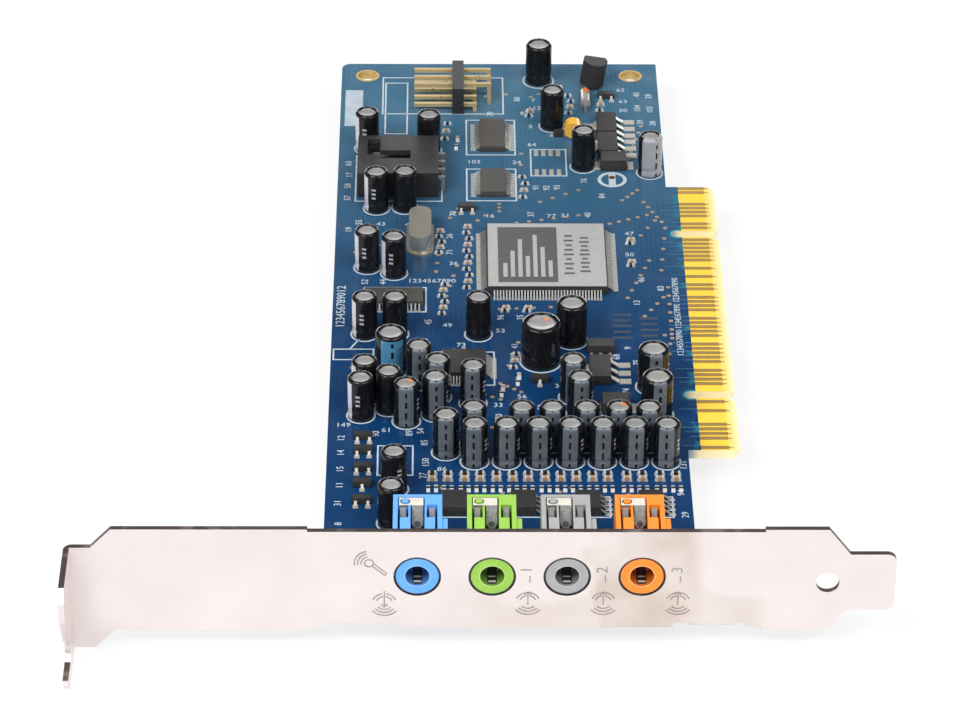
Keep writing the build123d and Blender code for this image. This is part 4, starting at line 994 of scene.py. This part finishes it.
seal_rubber = finish("seal_rubber", (0.03, 0.03, 0.03), (0.05, 0.05, 0.05), 800, 0.5, (0.6, 0.8))
sleeve_print = finish("sleeve_print", (0.38, 0.4, 0.42), (0.22, 0.23, 0.25), 1500, 0.6, (0.3, 0.45))
STRIPES = {"grey": ((0.115, 0.135, 0.155), (0.065, 0.08, 0.095)),
           "pale": ((0.52, 0.51, 0.56), (0.42, 0.41, 0.46)),
           "silver": ((0.32, 0.33, 0.36), (0.24, 0.25, 0.28)),
           "blue": ((0.075, 0.25, 0.42), (0.04, 0.17, 0.31))}
stripe_inks = {name: finish(f"stripe_{name}", colour, second, 420, 0.6, (0.2, 0.34), 0.0, 0.12)
               for name, (colour, second) in STRIPES.items()}
CAN_LAYERS = ("sleeve", "stripe", "print", "metal", "rubber")


def grow(rise, factor):
    """Extrude what is selected, then widen or narrow its new end about the upright axis."""
    lift(rise)
    bpy.ops.transform.resize(value=(factor, factor, 1), center_override=(0, 0, 0))


def can(diameter, height, stripe, half_width=30, dashed=False, printed=True, over_rim=False):
    """Can with its stripe towards -Y, grown ring by ring from the seal up to the top disc."""
    radius = diameter / 2
    row_height = (height - LIP_START - SLEEVE_START) / SLEEVE_ROWS
    rings = FOOT_RINGS + [(1.0, SLEEVE_START + row_height * (i + 1)) for i in range(SLEEVE_ROWS)]
    rings += [(share, height - drop) for share, drop in LIP_RINGS]
    body = round_sheet(SEAL_SHARE * radius, CAN_SIDES, SEAL_LEVEL, math.pi / CAN_SIDES)
    share, level = SEAL_SHARE, SEAL_LEVEL
    for next_share, next_level in rings:
        grow(next_level - level, next_share / share)
        share, level = next_share, next_level
    close_shell()
    for material in (sleeve_black, stripe_inks[stripe or "grey"], sleeve_print, can_aluminium, seal_rubber):
        body.data.materials.append(material)
    stripe_top = height if over_rim else height - STRIPE_GAP
    for face in body.data.polygons:
        where = face.center / MM
        reach = math.hypot(where.x, where.y) / radius
        turn = math.degrees(math.atan2(where.x, -where.y))
        row = int((where.z - SLEEVE_START) // row_height)
        on_dash = row in DASH_ROWS or where.z < FOOT_DASH_TOP or where.z > height - RIM_DASH_DROP
        in_stripe = stripe and abs(turn) < half_width and reach > LIP_SHARE
        face.use_smooth = True
        layer = "sleeve"
        if where.z < RUBBER_TOP:
            layer = "rubber"
        elif reach < METAL_SHARE and where.z > height / 2:
            layer = "metal"
        elif in_stripe and STRIPE_START < where.z < stripe_top:
            if not (dashed and abs(turn) < DASH_TURN and on_dash):
                layer = "stripe"
        elif printed and PRINT_TURNS[0] < turn < PRINT_TURNS[1] and row in PRINT_ROWS:
            layer = "print"
        face.material_index = CAN_LAYERS.index(layer)
    return body


small_cans = set_out(can(*SMALL_CAN, "grey", half_width=36, dashed=True, over_rim=True), facing_spots)
small_cans += set_out(can(*SMALL_CAN, "pale", half_width=36), side_spots)
small_cans += set_out(can(*SMALL_CAN, "pale"), away_spots)
silvery = can(*SMALL_CAN, "silver", half_width=76, dashed=True, printed=False, over_rim=True)
small_cans += set_out(silvery, [SILVERY_SPOT])
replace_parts(gather("cans_4mm", small_cans), "capacitors_4mm")
large_cans = set_out(can(*LARGE_CAN, "grey", half_width=26, dashed=True, over_rim=True), large_spots)
large_cans += set_out(can(*LARGE_CAN, "blue", half_width=46, dashed=True, printed=False), [BLUE_SPOT])
large_cans += set_out(can(*LARGE_CAN, "pale"), [DARK_SPOT])
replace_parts(gather("cans_5mm", large_cans), "capacitors_5mm")
wide_can = set_out(can(*WIDE_SIZE, "pale"), [WIDE_SPOT])
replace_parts(gather("can_6mm", wide_can), "capacitor_6mm")
header_can = set_out(can(*HEADER_SIZE, "pale", printed=False), [HEADER_SPOT])
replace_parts(gather("can_by_header", header_can), "capacitor_by_header")
nonpolar_can = set_out(can(*NONPOLAR_SIZE, ""), [NONPOLAR_SPOT])
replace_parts(gather("can_nonpolar", nonpolar_can), "capacitor_nonpolar")

# Test dots on cans
# Small round dabs of orange paint on three of the can tops, put on by hand when the card was tested. They
# are thin and dry to a satin gloss.
ORANGE_DABS = [(12.9, 48.4, 7.22), (46.1, 41.9, 7.22), (34.6, 65.6, 7.42)]
DAB_RING = (0.03, 0.36)
DAB_THICKNESS = 0.05
dab_paint = finish("dab_paint", (0.85, 0.2, 0.03), (0.7, 0.14, 0.02), 1500, 0.5, (0.4, 0.55))
dabs = set_out(flat_ring(*DAB_RING, DAB_THICKNESS, sides=14), ORANGE_DABS)
gather("paint_dabs", dabs, dab_paint)

# Solder joints
# Bright tin cones on the lower face, one under every pin that goes through the board. They form as the card
# passes over molten solder, and they hold the cans, the jacks and the connectors.
JOINT_RADIUS = 0.75
JOINT_STEPS = ((0.25, 0.6), (0.45, 0.6), (0.1, 0.5))
SMALL_PIN_SPREAD = 0.75
LARGE_PIN_SPREAD = 1.0
solder_tin = finish("solder_tin", (0.66, 0.67, 0.67), (0.46, 0.47, 0.48), 900, 0.6, (0.14, 0.3), 0.95, 0.3)
coat("solder_joints", solder_tin)
cone = round_sheet(JOINT_RADIUS, sides=12)
for drop, factor in JOINT_STEPS:
    grow(-drop, factor)
close_shell()
pin_spots = []
for places, spread in ((small_can_places, SMALL_PIN_SPREAD),
                       (large_can_places + [WIDE_CAN], LARGE_PIN_SPREAD)):
    pin_spots += [(x, y + side * spread, LOWER_FACE) for x, y in places for side in (-1, 1)]
gather("can_joints", set_out(cone, pin_spots), solder_tin)

# Loose-leaded parts
# A glass diode with an orange band on its far end, and a dipped yellow capacitor. Both are held by tinned
# wires that are soldered to the board.
DIODE_BAND = 107.2 * MM
BAND_ORANGE = (0.62, 0.16, 0.04)


def glass_finish():
    recipe = Recipe("diode_glass")
    clear, grain = recipe.grain((0.34, 0.32, 0.3), (0.2, 0.17, 0.15), 900, 0.6)
    band = recipe.math("GREATER_THAN", recipe.place()[1]["Y"], DIODE_BAND)
    recipe.surface(recipe.blend(band, clear, BAND_ORANGE), grain, (0.08, 0.18))
    return recipe.done()


coat("glass_diode_body", glass_finish())
resin_yellow = finish("resin_yellow", (0.75, 0.42, 0.05), (0.6, 0.32, 0.04), 700, 0.6, (0.18, 0.32), 0.0, 0.2)
coat("dipped_capacitor_body", resin_yellow)

# Crystal
# A drawn steel can welded to a flanged base that sits on the board. Both are plated in one finish, a little
# warm in tone.
crystal_steel = finish("crystal_steel", (0.66, 0.61, 0.53), (0.5, 0.46, 0.39), 350, 0.5, (0.14, 0.24),
                       0.75, 0.1)
for name in ("crystal_can", "crystal_base"):
    coat(name, crystal_steel)

# Connectors
# The audio socket and the header strip are moulded in black nylon. The header pins are gold plated, those
# of the socket tinned.
nylon_black = finish("nylon_black", (0.022, 0.022, 0.023), (0.034, 0.034, 0.035), 900, 0.6, (0.42, 0.58),
                     0.0, 0.3, 0.28)
pin_gold = finish("pin_gold", (0.75, 0.58, 0.3), (0.58, 0.42, 0.19), 900, 0.5, (0.26, 0.4), 0.6, 0.03)
for name in ("aux_connector_housing", "header_strip"):
    coat(name, nylon_black)
coat("header_pins", pin_gold)
coat("aux_connector_pins", lead_tin)

# Chip resistors and capacitors
# Small ceramic blocks with tinned ends: tan capacitors, and resistors with a black glazed top. They are
# soldered flat on the component face, each end in a bright fillet.
CHIP_END = 0.24
FILLET = 0.26
ROW_CAPACITOR = (1.15, 0.75, 0.7)
ROW_RESISTOR = (1.15, 0.75, 0.5)
SMALL_CAPACITOR = (1.05, 0.65, 0.5)
SMALL_RESISTOR = (1.0, 0.6, 0.42)
CHIP_COLUMNS = [16.4, 18.8, 21.4, 23.8, 26.3, 28.8, 31.2, 33.8, 36.2, 38.6, 41.1, 43.5, 46.4, 48.8, 51.5,
                54.0]
CAPACITOR_ROW = 31.74
RESISTOR_ROW = 33.24
PAIR_ROW = 29.24
PAIR_SPREAD = 0.6
# Short lines of chips: the first one's place, the pitch, the number of chips and their turn.
CHIP_LINES = [(22.2, 86.4, 1.9, 11, 0), (18.1, 78.6, 1.75, 6, 0), (17.6, 97.2, 1.7, 5, 0),
              (20.6, 131.6, 2.7, 2, 90), (18.6, 134.4, 2.6, 3, 0), (31.9, 115.0, 2.2, 4, 0),
              (40.4, 143.4, 2.0, 4, 0), (45.9, 144.4, 1.9, 2, 0), (49.6, 100.2, 1.1, 2, 0),
              (49.5, 93.3, 1.1, 2, 0), (28.4, 79.4, 0.9, 2, 0), (32.0, 79.4, 0.9, 2, 0),
              (30.2, 58.4, 1.8, 2, 90), (29.6, 62.8, 1.9, 3, 0), (33.4, 142.4, 1.6, 2, 0),
              (38.6, 150.4, 1.9, 2, 0), (16.0, 62.6, 1.8, 3, 90), (27.6, 55.2, 1.6, 2, 90)]
STAGGER = 0.25
chip_tan = finish("chip_tan", (0.36, 0.23, 0.13), (0.27, 0.16, 0.085), 1500, 0.6, (0.4, 0.55))
chip_glaze = finish("chip_glaze", (0.014, 0.014, 0.016), (0.025, 0.025, 0.026), 1500, 0.6, (0.22, 0.36))
fillet_tin = finish("fillet_tin", (0.78, 0.79, 0.79), (0.58, 0.59, 0.59), 1200, 0.6, (0.2, 0.35), 0.4, 0.3)


def chip(length, width, height, middle):
    """Block grown from one end through the middle to the other, its ends spread out below into fillets."""
    bpy.ops.object.select_all(action="DESELECT")
    bpy.ops.mesh.primitive_cube_add(size=1)
    block = bpy.context.object
    block.scale = (CHIP_END * MM, width * MM, height * MM)
    block.location = (-(length - CHIP_END) / 2 * MM, 0, height / 2 * MM)
    bpy.ops.object.transform_apply(location=True, rotation=False, scale=True)
    bpy.ops.object.mode_set(mode="EDIT")
    bpy.ops.mesh.select_mode(type="FACE")
    bpy.ops.mesh.select_all(action="DESELECT")
    mesh = bmesh.from_edit_mesh(block.data)
    for face in mesh.faces:
        if face.normal.x > 0.9:
            face.select_set(True)
    bmesh.update_edit_mesh(block.data)
    for run in (length - 2 * CHIP_END, CHIP_END):
        bpy.ops.mesh.extrude_region_move(TRANSFORM_OT_translate={"value": (run * MM, 0, 0)})
    mesh = bmesh.from_edit_mesh(block.data)
    for vert in mesh.verts:
        if vert.co.z < height / 2 * MM and abs(vert.co.x) > (length - CHIP_END) / 2 * MM:
            vert.co.x += math.copysign(FILLET * MM, vert.co.x)
    bmesh.update_edit_mesh(block.data)
    bpy.ops.object.mode_set(mode="OBJECT")
    block.data.materials.append(fillet_tin)
    block.data.materials.append(middle)
    for face in block.data.polygons:
        between = abs(face.center.x) < (length / 2 - CHIP_END) * MM
        face.material_index = 1 if between else 0
    return block


row_capacitors = set_out(chip(*ROW_CAPACITOR, chip_tan), [(x, CAPACITOR_ROW) for x in CHIP_COLUMNS])
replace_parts(gather("row_chip_capacitors", row_capacitors), "chip_capacitors")
row_resistors = set_out(chip(*ROW_RESISTOR, chip_glaze), [(x, RESISTOR_ROW) for x in CHIP_COLUMNS])
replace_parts(gather("row_chip_resistors", row_resistors), "chip_resistors")
small_resistors = []
small_capacitors = []
for x, y, pitch, count, turn in CHIP_LINES:
    for index in range(count):
        target = small_capacitors if index % 3 == 1 else small_resistors
        target.append((x + STAGGER * (index % 3 - 1), y + pitch * index, 0, turn))
small_resistors += [(x + side * PAIR_SPREAD, PAIR_ROW, 0, 90) for x in CHIP_COLUMNS for side in (-1, 1)]
gather("small_resistors", set_out(chip(*SMALL_RESISTOR, chip_glaze), small_resistors))
gather("small_capacitors", set_out(chip(*SMALL_CAPACITOR, chip_tan), small_capacitors))

# Studio
# A pale floor, a soft lamp over each front corner and a low wide one behind that draws the far rims of the
# cans. The surround is bright low down and overhead and dark between. The camera stands where the photograph
# was taken from.
FLOOR_LEVEL = cad_low.z
FLOOR_TONE = (0.86, 0.86, 0.86)
FLOOR_GLOW = 0.8
SKY = ((0.0, 0.85), (0.44, 0.75), (0.52, 0.45), (0.62, 0.08), (0.8, 0.07), (1.0, 0.9))
FRONT_LAMP = (0.55, 0.2)
BACK_LAMP = (1.1, 0.2)
LAMPS = ((Vector((-0.42, -0.34, 0.58)), 6.0, FRONT_LAMP), (Vector((0.34, -0.36, 0.6)), 4.0, FRONT_LAMP),
         (Vector((-0.06, 0.95, 0.12)), 6.5, BACK_LAMP))
LAMP_TARGET = Vector((-0.03, 0.03, 0))
CAMERA_PLACE = Vector((-46.79, -536.97, 374.0)) * MM
CAMERA_PITCH = math.radians(33.706)
CAMERA_YAW = math.radians(0.594)
CAMERA_ROLL = math.radians(0.388)
SENSOR_WIDTH = 36.0
LENS = 158.72
bpy.ops.object.select_all(action="DESELECT")
bpy.ops.mesh.primitive_plane_add(size=6, location=(0, 0, FLOOR_LEVEL))
floor = bpy.context.object
floor.name = "studio_floor"
floor_paint = Recipe("floor_paint")
floor_paint.nodes.remove(floor_paint.shader)
paint = floor_paint.add("BsdfDiffuse", Color=FLOOR_TONE)
glow = floor_paint.add("Emission", Strength=1.0)
rays = floor_paint.add("LightPath").outputs
seen = floor_paint.math("MAXIMUM", rays["Is Camera Ray"], rays["Is Glossy Ray"])
seen = floor_paint.math("MAXIMUM", seen, rays["Is Transmission Ray"])
lit = floor_paint.add("MixShader", Fac=floor_paint.math("MULTIPLY", seen, FLOOR_GLOW))
floor_paint.join(paint.outputs["BSDF"], lit.inputs[1])
floor_paint.join(glow.outputs["Emission"], lit.inputs[2])
floor_paint.join(lit.outputs["Shader"], floor_paint.nodes["Material Output"].inputs["Surface"])
floor.data.materials.append(floor_paint.material)

world = bpy.data.worlds.new("studio_surround")
bpy.context.scene.world = world
world.use_nodes = True
sky_nodes = world.node_tree.nodes
sky_join = world.node_tree.links.new
sky_place = sky_nodes.new("ShaderNodeTexCoord")
sky_split = sky_nodes.new("ShaderNodeSeparateXYZ")
sky_rise = sky_nodes.new("ShaderNodeMapRange")
sky_rise.inputs["From Min"].default_value = -1.0
sky_tone = sky_nodes.new("ShaderNodeValToRGB")
steps = sky_tone.color_ramp.elements
while len(steps) < len(SKY):
    steps.new(0.5)
for step, (position, tone) in zip(steps, SKY):
    step.position = position
    step.color = (tone, tone, tone, 1)
sky_join(sky_place.outputs["Generated"], sky_split.inputs["Vector"])
sky_join(sky_split.outputs["Z"], sky_rise.inputs["Value"])
sky_join(sky_rise.outputs["Result"], sky_tone.inputs["Fac"])
sky_join(sky_tone.outputs["Color"], sky_nodes["Background"].inputs["Color"])
for lamp_place, energy, (width, depth) in LAMPS:
    bpy.ops.object.light_add(type="AREA", location=lamp_place)
    lamp = bpy.context.object
    lamp.name = "soft_lamp"
    lamp.data.shape = "RECTANGLE"
    lamp.data.size = width
    lamp.data.size_y = depth
    lamp.visible_camera = False
    lamp.data.energy = energy
    lamp.rotation_euler = (LAMP_TARGET - lamp_place).to_track_quat("-Z", "Y").to_euler()

level_forward = Vector((math.sin(CAMERA_YAW), math.cos(CAMERA_YAW), 0))
forward = math.cos(CAMERA_PITCH) * level_forward - Vector((0, 0, math.sin(CAMERA_PITCH)))
right = Vector((math.cos(CAMERA_YAW), -math.sin(CAMERA_YAW), 0))
up = right.cross(forward)
rolled_right = math.cos(CAMERA_ROLL) * right + math.sin(CAMERA_ROLL) * up
rolled_up = -math.sin(CAMERA_ROLL) * right + math.cos(CAMERA_ROLL) * up
bpy.ops.object.camera_add()
camera = bpy.context.object
turn = Matrix((rolled_right, rolled_up, -forward)).transposed().to_4x4()
camera.matrix_world = Matrix.Translation(CAMERA_PLACE) @ turn
camera.data.sensor_width = SENSOR_WIDTH
camera.data.lens = LENS
camera.data.clip_start = 0.01
camera.data.clip_end = 20
bpy.context.scene.camera = camera
bpy.context.scene.view_settings.view_transform = "Standard"
